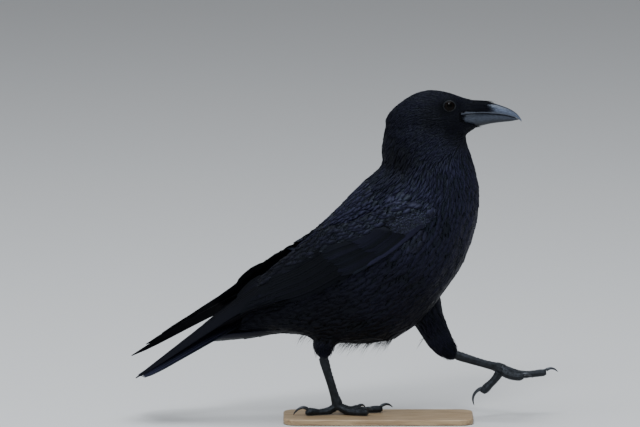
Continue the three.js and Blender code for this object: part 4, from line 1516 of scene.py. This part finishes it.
def mandible(name, rows, worn):
    """One half of the bill: a ridged outside and a hollowed inside that meet in a sharp edge.
    It is lightened by these shares: on the face by a painted highlight, which on the lower half
    leaves it darker towards the bottom, and along the edge by pale wear; the painted highlight lies
    nearer the edge the higher the third number is."""
    face_painted_light, on_edge, fade = worn
    rings, shade = [], []
    for x, edge, ridge, half in flowing(rows, BILL_RINGS):
        ring = []
        height = ridge - edge
        for i in range(BILL_SIDES + 1):
            angle = math.pi * (i / BILL_SIDES - 0.5)
            rise = height * math.cos(angle) ** BILL_FULLNESS
            ring.append(at(x, half * math.sin(angle), edge + rise))
            # The face gets a painted highlight (middle), none at the edge and at the ridge or bottom;
            # the edge gets pale wear (near_edge).
            near_edge = max(0.0, 1 - abs(rise) / EDGE_REACH)
            share = rise / height
            middle = 4 * share * (1 - share) ** fade
            shade.append(face_painted_light * middle + on_edge * near_edge)
        for i in range(1, HOLLOW_SIDES):
            y = half * (1 - 2 * i / HOLLOW_SIDES)
            dip = HOLLOW_DEPTH * height * math.sin(math.pi * i / HOLLOW_SIDES)
            ring.append(at(x, y, edge + dip))
            shade.append(0.0)
        rings.append(ring)
    piece = loft(name, rings)
    add_attribute(piece.data, "worn", shade)
    return piece


# An eyeball's rings and the points on each, and the cornea's height, reach and roundness.
EYE_RINGS, EYE_POINTS = 28, 40
CORNEA = (0.3, 0.6, 1.5)
# The eye's colours: how far from the axis the pupil ends and the dark rim begins, how dark and
# pale the iris's streaks are, its roughness and specular, and the two blacks.
PUPIL = (2.5, 2.7)
EYE_RIM = (4.6, 5.1)
STREAKED_IRIS = (0.6, 1.5)
EYE_SHINE = (0.05, 0.06)
PUPIL_BLACK = (0.001, 0.001, 0.001)
RIM_BLACK = (0.002, 0.002, 0.002)


def eyeball(name, side):
    """An eye with a slightly bulged cornea, and each point's distance from its axis."""
    centre, axis, across, up = eye_frame(side)
    rings = []
    height, reach, roundness = CORNEA
    for i in range(1, EYE_RINGS):
        polar = math.pi * i / EYE_RINGS
        bulge = height * max(0.0, 1 - polar / reach) ** roundness
        radius = (EYE["radius"] + bulge) * MM
        turns = np.linspace(0, 2 * math.pi, EYE_POINTS, endpoint=False)
        flat = np.outer(np.cos(turns), across) + np.outer(np.sin(turns), up)
        rings.append(list(centre + radius * (math.sin(polar) * flat + math.cos(polar) * axis)))
    piece = loft(name, rings)
    offset = points_of(piece.data) - centre
    height = offset @ axis
    reach = np.linalg.norm(offset - np.outer(height, axis), axis=1) / MM
    reach[height < 0] = EYE["radius"]
    add_attribute(piece.data, "reach", reach)
    return piece


# Eyelid section: distance from the eye's axis and height over the opening's rim.
LID = [
    (4.95, -0.6), (5.0, 0.05), (5.2, 0.3), (5.5, 0.32),
    (5.85, 0.1), (6.3, -0.4), (6.3, -1.2), (5.4, -1.6),
]
# Its sections round the eye, how far it is drawn out at the corners and pressed from above, and
# its folds: how many, how high, and how far out they begin.
LID_SECTIONS = 56
LID_CORNERS, LID_HEIGHT = 0.07, 0.96
LID_FOLDS = (14, 0.07, 5.2)


def eyelid(name, side):
    """The ring of bare wrinkled skin round the eye, drawn out a little at its corners."""
    centre, axis, across, up = eye_frame(side)
    rim = math.sqrt(EYE["radius"] ** 2 - EYE["opening"] ** 2)
    count, size = LID_SECTIONS, len(LID)
    folds, fold_height, folds_from = LID_FOLDS
    points, faces = [], []
    for j in range(count):
        turn = 2 * math.pi * j / count
        wide = 1 + LID_CORNERS * abs(math.cos(turn)) ** 3
        fold = fold_height * math.sin(folds * turn)
        for reach, height in LID:
            flat = across * math.cos(turn) * wide + up * math.sin(turn) * LID_HEIGHT
            rise = rim + height + fold * (reach > folds_from)
            points.append(centre + (reach * flat + rise * axis) * MM)
        for i in range(size):
            k = (i + 1) % size
            a, b = j * size, (j + 1) % count * size
            faces.append((a + i, a + k, b + k, b + i))
    piece = mesh_from(name, points, faces)
    subdivide(piece, 1)
    return made_plain(piece)


def subdivide(piece, levels):
    """Subdivides a piece smoothly."""
    modifier = piece.modifiers.new("Smooth form", "SUBSURF")
    modifier.levels = modifier.render_levels = levels


# Centre lines of the lower legs and toes, from the ankle out, with the way their tops face.
LEG_LINES = {
    "right": {
        "shank": ([(-21.2, -8.6, 60), (-17, -6, 43), (-10.2, -1.8, 20), (-6.4, 0.4, 6)], (1, 0, 0.2)),
        "toe_1": ([(-8, -0.2, 8), (-22, -4.6, 3.2), (-38.6, -10, 4)], (0, 0, 1)),
        "toe_2": ([(-5, 1.5, 7), (8, 13.6, 3), (15.5, 20.4, 4)], (0, 0, 1)),
        "toe_3": ([(-5, 1, 7), (18, 8, 3.2), (38.3, 14.2, 4)], (0, 0, 1)),
        "toe_4": ([(-5, -1, 7), (10, -7, 3.2), (23.8, -12.3, 4)], (0, 0, 1)),
    },
    "left": {
        "shank": ([(112, 24.4, 56.5), (130, 16.5, 51.9), (149, 7, 47.8), (160, 2.4, 44)], (0.1, 0, 1)),
        "toe_1": ([(157, 2, 43), (146.4, 1, 30.6), (138.6, 0.6, 21.4)], (-1, 0, 0.3)),
        "toe_2": ([(156, 0, 45), (171, -5.4, 38.6), (179.6, -6.2, 39.2)], (0, 0, 1)),
        "toe_3": ([(156, 2, 46), (182, 1.1, 40.2), (202.6, 0.9, 42.4)], (0, 0, 1)),
        "toe_4": ([(156, 4, 45), (172, 8.8, 38.6), (187.4, 9.8, 39.5)], (0, 0, 1)),
    },
}


# A scute's section along the leg: how steeply it rises at its start, how much it falls off
# towards its end, and the level that stays where the skin is.
SCUTE_RISE, SCUTE_FALL, SCUTE_LEVEL = 5.0, 0.45, 0.35


def scute_tree():
    """Raises a row of overlapping scutes along the top of a leg or toe."""
    tree, given, outlet = new_tree(
        "Scutes", {"Height": ("Float", 0.0004), "Material": ("Material", None)}
    )
    cell = calc(tree, "FRACT", named(tree, "run"))
    step = calc(tree, "MINIMUM", calc(tree, "MULTIPLY", cell, SCUTE_RISE), 1.0)
    slope = calc(tree, "SUBTRACT", step, calc(tree, "MULTIPLY", cell, SCUTE_FALL))
    raised = calc(tree, "MULTIPLY", slope, named(tree, "top"))
    marked = store(tree, given["Geometry"], "scute", raised)
    height = calc(tree, "SUBTRACT", raised, SCUTE_LEVEL)
    height = calc(tree, "MULTIPLY", height, given["Height"])
    offset = vector(tree, "SCALE", put(tree, "GeometryNodeInputNormal").outputs[0], height)
    finished_geometry(tree, moved(tree, marked, "Offset", offset), given["Material"], outlet)
    return tree


# The ball under the thigh's feathers: its segments and its radius.
KNUCKLE = {"u_segments": 16, "v_segments": 12, "radius": 4.2 * MM}


def add_knuckle(mesh, place):
    """Adds a ball to the top of a lower leg, which the thigh's feathers cover."""
    bm = bmesh.new()
    bm.from_mesh(mesh)
    bmesh.ops.create_uvsphere(bm, matrix=Matrix.Translation(place), **KNUCKLE)
    bm.to_mesh(mesh)
    bm.free()


# The leg's even mesh and rounds of smoothing, points along each centre line, and how much of
# its girth the scutes take up.
LEG_VOXEL, LEG_ROUNDS = 0.42, 6
LEG_STEPS = 60
SCUTE_GIRTH = (1.7, 0.15)


def leg_piece(side_name, material, scute, toe_scute, height):
    """Lower leg and toes in one skin, with scutes along their tops."""
    nodes = [f"shank_{side_name}"] + [f"toe_{i}_{side_name}" for i in TOES]
    piece = merged_copy(f"leg_{side_name}", nodes)
    add_knuckle(piece.data, at(*THIGH_LINES[side_name][-1]))
    remeshed(piece, LEG_VOXEL, LEG_ROUNDS)
    mesh = piece.data
    points, normals = points_of(mesh), normals_of(mesh)
    best = np.full(len(points), np.inf)
    run = np.zeros(len(points))
    top = np.zeros(len(points))
    for part, (controls, hint) in LEG_LINES[side_name].items():
        line = flowing([at(*p) for p in controls], LEG_STEPS)
        gaps = np.linalg.norm(points[:, None, :] - line[None, :, :], axis=2)
        place = gaps.argmin(1)
        gap = gaps.min(1)
        closer = gap < best
        best[closer] = gap[closer]
        steps = np.linalg.norm(np.diff(line, axis=0), axis=1)
        distance = np.concatenate([[0], np.cumsum(steps)])[place]
        tangent = np.gradient(line, axis=0)[place]
        tangent /= np.linalg.norm(tangent, axis=1)[:, None]
        hint = np.array(hint, float)
        upward = hint - tangent * (tangent @ hint)[:, None]
        upward /= np.linalg.norm(upward, axis=1)[:, None]
        facing = (normals * upward).sum(1) * SCUTE_GIRTH[0] - SCUTE_GIRTH[1]
        size = (scute if part == "shank" else toe_scute) * MM
        run[closer] = (distance / size)[closer]
        top[closer] = np.clip(facing, 0, 1)[closer]
    add_attribute(mesh, "run", run)
    add_attribute(mesh, "top", top)
    return grown(piece, TREES["scutes"], {"Height": height * MM, "Material": material})


# Sizes and colours that a user may change


def colour_setting(label, description, default):
    """A colour without alpha."""
    return bpy.props.FloatVectorProperty(
        name=label, description=description, subtype="COLOR", size=3, min=0, max=1, default=default
    )


def spacing_setting(label, where, default):
    """The gap between the feathers of one region, with its default in millimetres."""
    return bpy.props.FloatProperty(
        name=label, description=f"Gap between feathers {where}", default=default * MM,
        unit="LENGTH", precision=5,
    )


class CrowPlumage(bpy.types.PropertyGroup):
    """Colours and sizes of the feathers."""

    dull_black: colour_setting(
        "Dull black", "Colour of feathers without gloss", (0.0022, 0.0022, 0.0023)
    )
    # The two colours of the painted sheen, blended into the feathers' colour where the coat's painted
    # sheen is full.
    painted_sheen_blue: colour_setting(
        "Glossy black", "Colour of feathers with full gloss", (0.0130, 0.0165, 0.0270)
    )
    painted_sheen_violet: colour_setting(
        "Violet black", "The other colour of feathers with full gloss", (0.0150, 0.0150, 0.0330)
    )
    gloss_tint: colour_setting("Gloss tint", "Tint of the feathers' shine", (0.72, 0.80, 1.0))
    roughness: bpy.props.FloatProperty(
        name="Roughness", description="Roughness of the feathers", default=0.46, min=0, max=1
    )
    face_spacing: spacing_setting("Face spacing", "on the face", 0.66)
    hood_spacing: spacing_setting("Hood spacing", "on the head", 1.25)
    collar_spacing: spacing_setting("Collar spacing", "on the neck", 2.5)
    body_spacing: spacing_setting("Body spacing", "on the body", 2.9)
    mantle_spacing: spacing_setting("Mantle spacing", "on the back", 2.9)
    shoulder_spacing: spacing_setting("Shoulder spacing", "on the wing's bend", 1.5)


class CrowBareParts(bpy.types.PropertyGroup):
    """Colours and sizes of the bill, eyes, legs and claws."""

    bill: colour_setting("Bill", "Colour of the bill", (0.006, 0.007, 0.009))
    # The pale colour of the bill's worn edges and of the highlight painted on the bill's faces.
    bill_wear_and_highlight: colour_setting("Worn bill", "Colour of the bill's worn edges", (0.115, 0.140, 0.200))
    legs: colour_setting("Legs", "Colour of the legs", (0.0055, 0.006, 0.007))
    legs_worn: colour_setting("Worn scales", "Colour of the legs' worn scales", (0.034, 0.038, 0.047))
    claws: colour_setting("Claws", "Colour of the claws", (0.012, 0.013, 0.015))
    lids: colour_setting("Eyelids", "Colour of the eyelids", (0.012, 0.0105, 0.0105))
    iris: colour_setting("Iris", "Colour of the iris", (0.0030, 0.0018, 0.0014))
    scute: bpy.props.FloatProperty(
        name="Scute", description="Length of a scute on the lower leg", default=4.4, min=1
    )
    toe_scute: bpy.props.FloatProperty(
        name="Toe scute", description="Length of a scute on the toes", default=2.3, min=1
    )
    scute_height: bpy.props.FloatProperty(
        name="Scute height", description="How far a scute's edge stands out, in millimetres",
        default=0.8, min=0,
    )


class CrowStage(bpy.types.PropertyGroup):
    """The base's colours, the floor and the camera."""

    oak: colour_setting("Oak", "Colour of the base", (0.46, 0.33, 0.19))
    oak_dark: colour_setting("Oak grain", "Colour of the base's grain", (0.24, 0.15, 0.08))
    floor: colour_setting("Floor", "Colour of the floor", (0.62, 0.61, 0.60))
    elevation: bpy.props.FloatProperty(
        name="Elevation", description="Camera's height above the horizon",
        default=math.radians(7), subtype="ANGLE",
    )
    distance: bpy.props.FloatProperty(
        name="Distance", description="Camera's distance", default=11.5, unit="LENGTH"
    )
    width: bpy.props.FloatProperty(
        name="Width", description="Width that the camera takes in", default=0.640, unit="LENGTH"
    )


TREES = {}
MATERIALS = {}
# Barbs: waves along a feather, how far they slant, and their height in millimetres.
DOWN_BARBS = (60.0, 12.0, 0.15)
COAT_BARBS = (160.0, 50.0, 0.05)
QUILL_BARBS = (600.0, 80.0, 0.02)
LOOSE_BARBS = (40.0, 8.0, 0.1)
# Specular and roughness of down and loose feathers, and how quills differ from the coat.
DOWN_SHINE = (0.05, 0.8)
LOOSE_SHINE = (0.06, 0.6)
QUILL_SPECULAR, QUILL_SMOOTHER = 0.08, 0.02
# Seeds of the pieces that grow on guide lines.
SEEDS = {"wings": 21, "tail": 31, "belly": 41, "upper bill": 42, "lower bill": 43, "cuffs": 44}


def material_of(name, sizes, *details):
    """The named plumage material, made once."""
    if name not in MATERIALS:
        MATERIALS[name] = plumage(name, sizes, *details)
    return MATERIALS[name]


def quill_material(sizes):
    """The material of wing and tail feathers."""
    roughness = sizes.roughness - QUILL_SMOOTHER
    return material_of("Quills", sizes, QUILL_SPECULAR, roughness, QUILL_BARBS)


# One operator for each piece or group of like pieces

# The skin's even mesh and its rounds of smoothing.
SKIN_VOXEL, SKIN_ROUNDS = 1.5, 14


class CROW_OT_skin(bpy.types.Operator):
    """Build the skin under the feathers"""

    bl_idname = "crow.skin"
    bl_label = "Skin"

    def execute(self, context):
        sizes = context.scene.crow_plumage
        nodes = FLESH + WING_NODES + EYE_NODES
        skin = remeshed(merged_copy("skin", nodes), SKIN_VOXEL, SKIN_ROUNDS)
        describe_skin(skin)
        unwrap(skin)
        skin.data.materials.append(material_of("Down", sizes, *DOWN_SHINE, DOWN_BARBS))
        finished(skin, "plumage", *FLESH, *WING_NODES)
        return {"FINISHED"}


# Coat pieces: region, feather pattern, spacing setting, length, rise of the tip, how far it
# laps over its neighbours, specular, seed.
COATS = [
    ("face", "fine", "face_spacing", 1.6, 0.06, 0.0, 0.08, 11),
    ("hood", "small", "hood_spacing", 1.5, 0.065, 0.0, 0.11, 12),
    ("collar", "hackle", "collar_spacing", 1.35, 0.06, 0.0, 0.12, 13),
    ("body", "contour", "body_spacing", 1.45, 0.032, 0.0, 0.08, 14),
    ("mantle", "scapular", "mantle_spacing", 1.1, 0.035, 1.0, 0.17, 16),
    ("shoulder", "covert", "shoulder_spacing", 1.25, 0.045, 0.15, 0.24, 15),
]


# How deep a coat feather's root is sunk, and how far its direction scatters.
COAT_SINK = 0.1 * MM
COAT_SCATTER = 0.22


class CROW_OT_coat(bpy.types.Operator):
    """Build the feathers of the face, head, neck, body and shoulders"""

    bl_idname = "crow.coat"
    bl_label = "Coat feathers"

    def execute(self, context):
        sizes = context.scene.crow_plumage
        skin = bpy.data.objects["skin"]
        TREES["coat"] = coat_tree()
        for region, pattern, spacing, length, rise, overlap, specular, seed in COATS:
            shape = feather_pattern("pattern", *PATTERNS[pattern])
            piece = link(f"feathers_{region}", skin.data.copy())
            piece.data.materials.clear()
            look = (specular, sizes.roughness, COAT_BARBS)
            material = material_of(f"Feathers {region}", sizes, *look)
            inputs = {
                "Pattern": shape,
                "Spacing": getattr(sizes, spacing),
                "Region": region,
                "Length": length,
                "Rise": rise,
                "Sink": COAT_SINK,
                "Overlap": overlap * MM,
                "Scatter": COAT_SCATTER,
                "Seed": seed,
                "Material": material,
            }
            grown(piece, TREES["coat"], inputs)
            bpy.data.objects.remove(shape)
            finished(piece, "plumage")
        return {"FINISHED"}


class CROW_OT_wings(bpy.types.Operator):
    """Build the folded wings' quills, flight feathers and coverts"""

    bl_idname = "crow.wings"
    bl_label = "Wings"

    def execute(self, context):
        sizes = context.scene.crow_plumage
        TREES["vanes"] = vane_tree()
        material = quill_material(sizes)
        for side_name in SIDES:
            guides = Guides(bpy.data.objects["skin"], SEEDS["wings"])
            add_wing_feathers(guides, side_name)
            add_wing_lining(guides, side_name)
            piece = guides.grow(f"wing_feathers_{side_name}", material)
            finished(piece, "plumage", f"wing_{side_name}_primaries")
        return {"FINISHED"}


class CROW_OT_tail(bpy.types.Operator):
    """Build the tail feathers"""

    bl_idname = "crow.tail"
    bl_label = "Tail"

    def execute(self, context):
        sizes = context.scene.crow_plumage
        material = quill_material(sizes)
        guides = Guides(bpy.data.objects["skin"], SEEDS["tail"])
        add_tail_feathers(guides)
        add_tail_coverts(guides)
        finished(guides.grow("tail_feathers", material), "plumage", "tail")
        return {"FINISHED"}


# Bristles and loose feathers: how many, their lengths, half width, how high root and tip lie
# over what they grow on, the sheen painted into their colour, how loose they are, and the
# lowest root. The vanes' steps, thickness, shaft and hollow follow.
BELLY_FRINGE = {
    "count": 700, "length": (5, 17), "half": 0.33, "lift": (0.1, 2.2), "gloss": 0.05,
    "loose": 0.28, "lowest": 71,
}
NASAL_BRISTLES = {
    "count": 340, "length": (17, 28), "half": 0.32, "lift": (0.2, 0.6), "gloss": 0.15,
    "loose": 0.05,
}
CHIN_BRISTLES = {
    "count": 60, "length": (6, 12), "half": 0.3, "lift": (0.15, 0.6), "gloss": 0.15,
    "loose": 0.05,
}
GAPE_BRISTLES = {
    "count": 90, "length": (4, 8), "half": 0.28, "lift": (0.15, 0.4), "gloss": 0.15,
    "loose": 0.08,
}
CUFF_FEATHERS = {
    "count": 260, "length": (3.5, 6.5), "half": 0.6, "lift": (0.1, 0.2), "gloss": 0.2,
    "loose": 0.03,
}
FRINGE_VANE = (6, 0.12, 0.05, 0.1)
BRISTLE_VANE = (6, 0.25, 0.05, 0.0)
CUFF_VANE = (6, 0.1, 0.03, 0.05)
# How far above the ankle the cuff's roots begin and over what length they lie, and their
# distance from the leg's axis.
CUFF_START, CUFF_OVER, CUFF_RADIUS = 6, 12, 7


def add_cuff(guides, line):
    """The short feathers that end a thigh at the ankle."""
    end = np.array(line[-1], float)
    way = unit(end - line[-2])
    across = np.cross(way, (0, 1, 0))

    def root(u, v):
        turn = 2 * math.pi * u
        out = across * math.cos(turn) + np.array((0, math.sin(turn), 0))
        return at(*(end - way * (CUFF_START + CUFF_OVER * v) + CUFF_RADIUS * out))

    scattered_lines(guides, start=root, along=lambda u, v: way, **CUFF_FEATHERS)


class CROW_OT_fringes(bpy.types.Operator):
    """Build the loose feathers of the belly and vent and the bristles on the bill"""

    bl_idname = "crow.fringes"
    bl_label = "Fringes and bristles"

    def execute(self, context):
        sizes = context.scene.crow_plumage
        skin = bpy.data.objects["skin"]
        material = material_of("Loose feathers", sizes, *LOOSE_SHINE, LOOSE_BARBS)
        # Each start turns two random shares into a root, mostly u along the bird and v across
        # or up it, and each along gives the way that the vane is laid.
        belly = Guides(skin, SEEDS["belly"])
        scattered_lines(
            belly,
            start=lambda u, v: at(-46 + 106 * u, -26 + 52 * v, 60),
            along=lambda u, v: (-0.7, 0.1 * (v - 0.5), -0.6),
            **BELLY_FRINGE,
        )
        finished(belly.grow("belly_fringe", material, *FRINGE_VANE), "plumage")
        upper = Guides(skin, SEEDS["upper bill"], bpy.data.objects["bill_upper_horn"])
        for side in SIDES.values():
            scattered_lines(
                upper,
                start=lambda u, v: at(115 + 11 * u, side * (1 + 9 * v), 319 - 12 * v**0.8),
                along=lambda u, v: (1, -side * 0.09, -0.06 * (1 - v)),
                **NASAL_BRISTLES,
            )
        finished(upper.grow("nasal_bristles", material, *BRISTLE_VANE), "plumage")
        lower = Guides(skin, SEEDS["lower bill"], bpy.data.objects["bill_lower_horn"])
        for side in SIDES.values():
            scattered_lines(
                lower,
                start=lambda u, v: at(118 + 10 * u, side * (7 - 7 * v), 291 - 3 * v),
                along=lambda u, v: (1, 0, 0.12),
                **CHIN_BRISTLES,
            )
            scattered_lines(
                lower,
                start=lambda u, v: at(112 + 3 * u, side * 16, 295 + 13 * v),
                along=lambda u, v: (1, -side * 0.2, 0),
                **GAPE_BRISTLES,
            )
        finished(lower.grow("chin_bristles", material, *BRISTLE_VANE), "plumage")
        cuffs = Guides(skin, SEEDS["cuffs"])
        for line in THIGH_LINES.values():
            add_cuff(cuffs, line)
        finished(cuffs.grow("thigh_cuffs", material, *CUFF_VANE), "plumage")
        return {"FINISHED"}


BILL_ROUGHNESS = 0.31
# Roughness and specular of the claws.
CLAW_SHINE = (0.3, 0.55)
# The bill's halves: name, shape, the painted highlight on the face, the pale wear on the edge
# and where the highlight lies, specular.
BILL_HALVES = [
    ("bill_upper", UPPER_BILL, (0.75, 0.45, 1), 0.55),
    ("bill_lower", LOWER_BILL, (0.48, 0.03, 2), 0.22),
]


class CROW_OT_bill(bpy.types.Operator):
    """Build the two halves of the bill"""

    bl_idname = "crow.bill"
    bl_label = "Bill"

    def execute(self, context):
        colours = context.scene.crow_bare_parts
        for name, rows, worn, specular in BILL_HALVES:
            piece = mandible(f"{name}_horn", rows, worn)
            look = (colours.bill, colours.bill_wear_and_highlight, BILL_ROUGHNESS, specular)
            material = horn(f"{name} horn", *look)
            piece.data.materials.append(material)
            finished(piece, "bill_horn", name)
        return {"FINISHED"}


class CROW_OT_eyes(bpy.types.Operator):
    """Build the eyes and eyelids"""

    bl_idname = "crow.eyes"
    bl_label = "Eyes"

    def execute(self, context):
        colours = context.scene.crow_bare_parts
        material, tree, shader = surface("Eye", colours.iris, *EYE_SHINE)
        pupil = ramp(tree, value_of(tree, "reach"), *PUPIL)
        rim = ramp(tree, value_of(tree, "reach"), *EYE_RIM)
        streaks = ramp(tree, noise(tree, *IRIS_STREAKS), *NOISE_SPAN, *STREAKED_IRIS)
        iris = vector(tree, "SCALE", tuple(colours.iris), streaks)
        colour = blend(tree, pupil, PUPIL_BLACK, iris)
        colour = blend(tree, rim, colour, RIM_BLACK)
        tree.links.new(colour, shader.inputs["Base Color"])
        lid_skin = scaly_skin("Eyelid skin", colours.legs, colours.lids)
        for side_name, side in SIDES.items():
            eye = eyeball(f"eyeball_{side_name}", side)
            eye.data.materials.append(material)
            finished(eye, "eye", f"eye_{side_name}")
            lid = eyelid(f"eyelid_{side_name}", side)
            lid.data.materials.append(lid_skin)
            finished(lid, "leg_skin")
        return {"FINISHED"}


class CROW_OT_legs(bpy.types.Operator):
    """Build the lower legs, toes and claws"""

    bl_idname = "crow.legs"
    bl_label = "Legs"

    def execute(self, context):
        colours = context.scene.crow_bare_parts
        TREES["scutes"] = scute_tree()
        skin = scaly_skin("Leg skin", colours.legs, colours.legs_worn)
        claw_horn = horn("Claw horn", colours.claws, colours.legs_worn, *CLAW_SHINE)
        for side_name in SIDES:
            piece = leg_piece(
                side_name, skin, colours.scute, colours.toe_scute, colours.scute_height
            )
            toes = [f"toe_{i}_{side_name}" for i in TOES]
            finished(piece, "leg_skin", f"shank_{side_name}", *toes)
            claws = [f"claw_{i}_{side_name}" for i in TOES]
            piece = merged_copy(f"claws_{side_name}", claws)
            subdivide(piece, 2)
            made_plain(piece)
            piece.data.polygons.foreach_set("use_smooth", [True] * len(piece.data.polygons))
            piece.data.materials.append(claw_horn)
            finished(piece, "claw_horn", *claws)
        return {"FINISHED"}


class CROW_OT_base(bpy.types.Operator):
    """Build the oak base"""

    bl_idname = "crow.base"
    bl_label = "Base"

    def execute(self, context):
        stage = context.scene.crow_stage
        piece = merged_copy("stand_board", ["stand_base"])
        piece.data.materials.append(oak("Oak", stage.oak, stage.oak_dark))
        finished(piece, "base_oak", "stand_base")
        return {"FINISHED"}


# The studio: half the floor's width, its roughness and specular, the world's colour and
# strength, the lamps' colour, and for each lamp its name, place in metres, size and power.
FLOOR_REACH = 40
FLOOR_SHINE = (0.9, 0.1)
WORLD_COLOUR, WORLD_STRENGTH = (0.88, 0.93, 1.0, 1), 0.26
LAMP_COLOUR = (0.88, 0.94, 1.0)
LAMPS = [
    ("key", (-0.3, -2.2, 2.3), 0.7, 50),
    ("top", (-0.2, -0.4, 3.2), 3.6, 150),
    ("fill", (-2.6, -2.2, 1.2), 2.0, 10),
]
LAMP_TARGET = (0, 0, 180)
CAMERA_TARGET = (-24.5, 0, 203)
SENSOR_WIDTH = 36
CLIP_END = 200


class CROW_OT_stage(bpy.types.Operator):
    """Set up the floor, the lights and the camera"""

    bl_idname = "crow.stage"
    bl_label = "Floor, lights and camera"

    def execute(self, context):
        stage = context.scene.crow_stage
        corners = [(-1, -1, 0), (1, -1, 0), (1, 1, 0), (-1, 1, 0)]
        floor = mesh_from("floor", np.multiply(corners, FLOOR_REACH), [(0, 1, 2, 3)])
        material, _, _ = surface("Floor", stage.floor, *FLOOR_SHINE)
        floor.data.materials.append(material)
        world = bpy.data.worlds.new("Studio")
        world.use_nodes = True
        background = world.node_tree.nodes["Background"]
        background.inputs[0].default_value = WORLD_COLOUR
        background.inputs[1].default_value = WORLD_STRENGTH
        context.scene.world = world
        middle = at(*LAMP_TARGET)
        for name, place, size, power in LAMPS:
            data = bpy.data.lights.new(name, "AREA")
            data.size, data.energy, data.color = size, power, LAMP_COLOUR
            lamp = link(name, data)
            lamp.location = place
            lamp.rotation_euler = (middle - Vector(place)).to_track_quat("-Z", "Y").to_euler()
        data = bpy.data.cameras.new("camera")
        data.sensor_width = SENSOR_WIDTH
        data.lens = SENSOR_WIDTH * stage.distance / stage.width
        data.clip_end = CLIP_END
        camera = link("camera", data)
        target = at(*CAMERA_TARGET)
        lift = stage.elevation
        away = Vector((0, -math.cos(lift), math.sin(lift))) * stage.distance
        camera.location = target + away
        camera.rotation_euler = (-away).to_track_quat("-Z", "Y").to_euler()
        context.scene.camera = camera
        return {"FINISHED"}


OPERATORS = (
    CROW_OT_skin,
    CROW_OT_coat,
    CROW_OT_wings,
    CROW_OT_tail,
    CROW_OT_bill,
    CROW_OT_fringes,
    CROW_OT_eyes,
    CROW_OT_legs,
    CROW_OT_base,
    CROW_OT_stage,
)
SETTINGS = {
    "crow_plumage": CrowPlumage,
    "crow_bare_parts": CrowBareParts,
    "crow_stage": CrowStage,
}


class CROW_PT_panel(bpy.types.Panel):
    """Lists the crow's pieces"""

    bl_label = "Crow"
    bl_idname = "CROW_PT_panel"
    bl_space_type = "VIEW_3D"
    bl_region_type = "UI"
    bl_category = "Crow"

    def draw(self, context):
        for operator in OPERATORS:
            self.layout.operator(operator.bl_idname)


def register():
    for cls in (*SETTINGS.values(), *OPERATORS, CROW_PT_panel):
        bpy.utils.register_class(cls)
    for name, cls in SETTINGS.items():
        setattr(bpy.types.Scene, name, bpy.props.PointerProperty(type=cls))


def unregister():
    for name in SETTINGS:
        delattr(bpy.types.Scene, name)
    for cls in (CROW_PT_panel, *reversed(OPERATORS), *reversed(SETTINGS.values())):
        bpy.utils.unregister_class(cls)


def main():
    register()
    for operator in OPERATORS:
        group, name = operator.bl_idname.split(".")
        getattr(getattr(bpy.ops, group), name)()


if __name__ == "__main__":
    main()
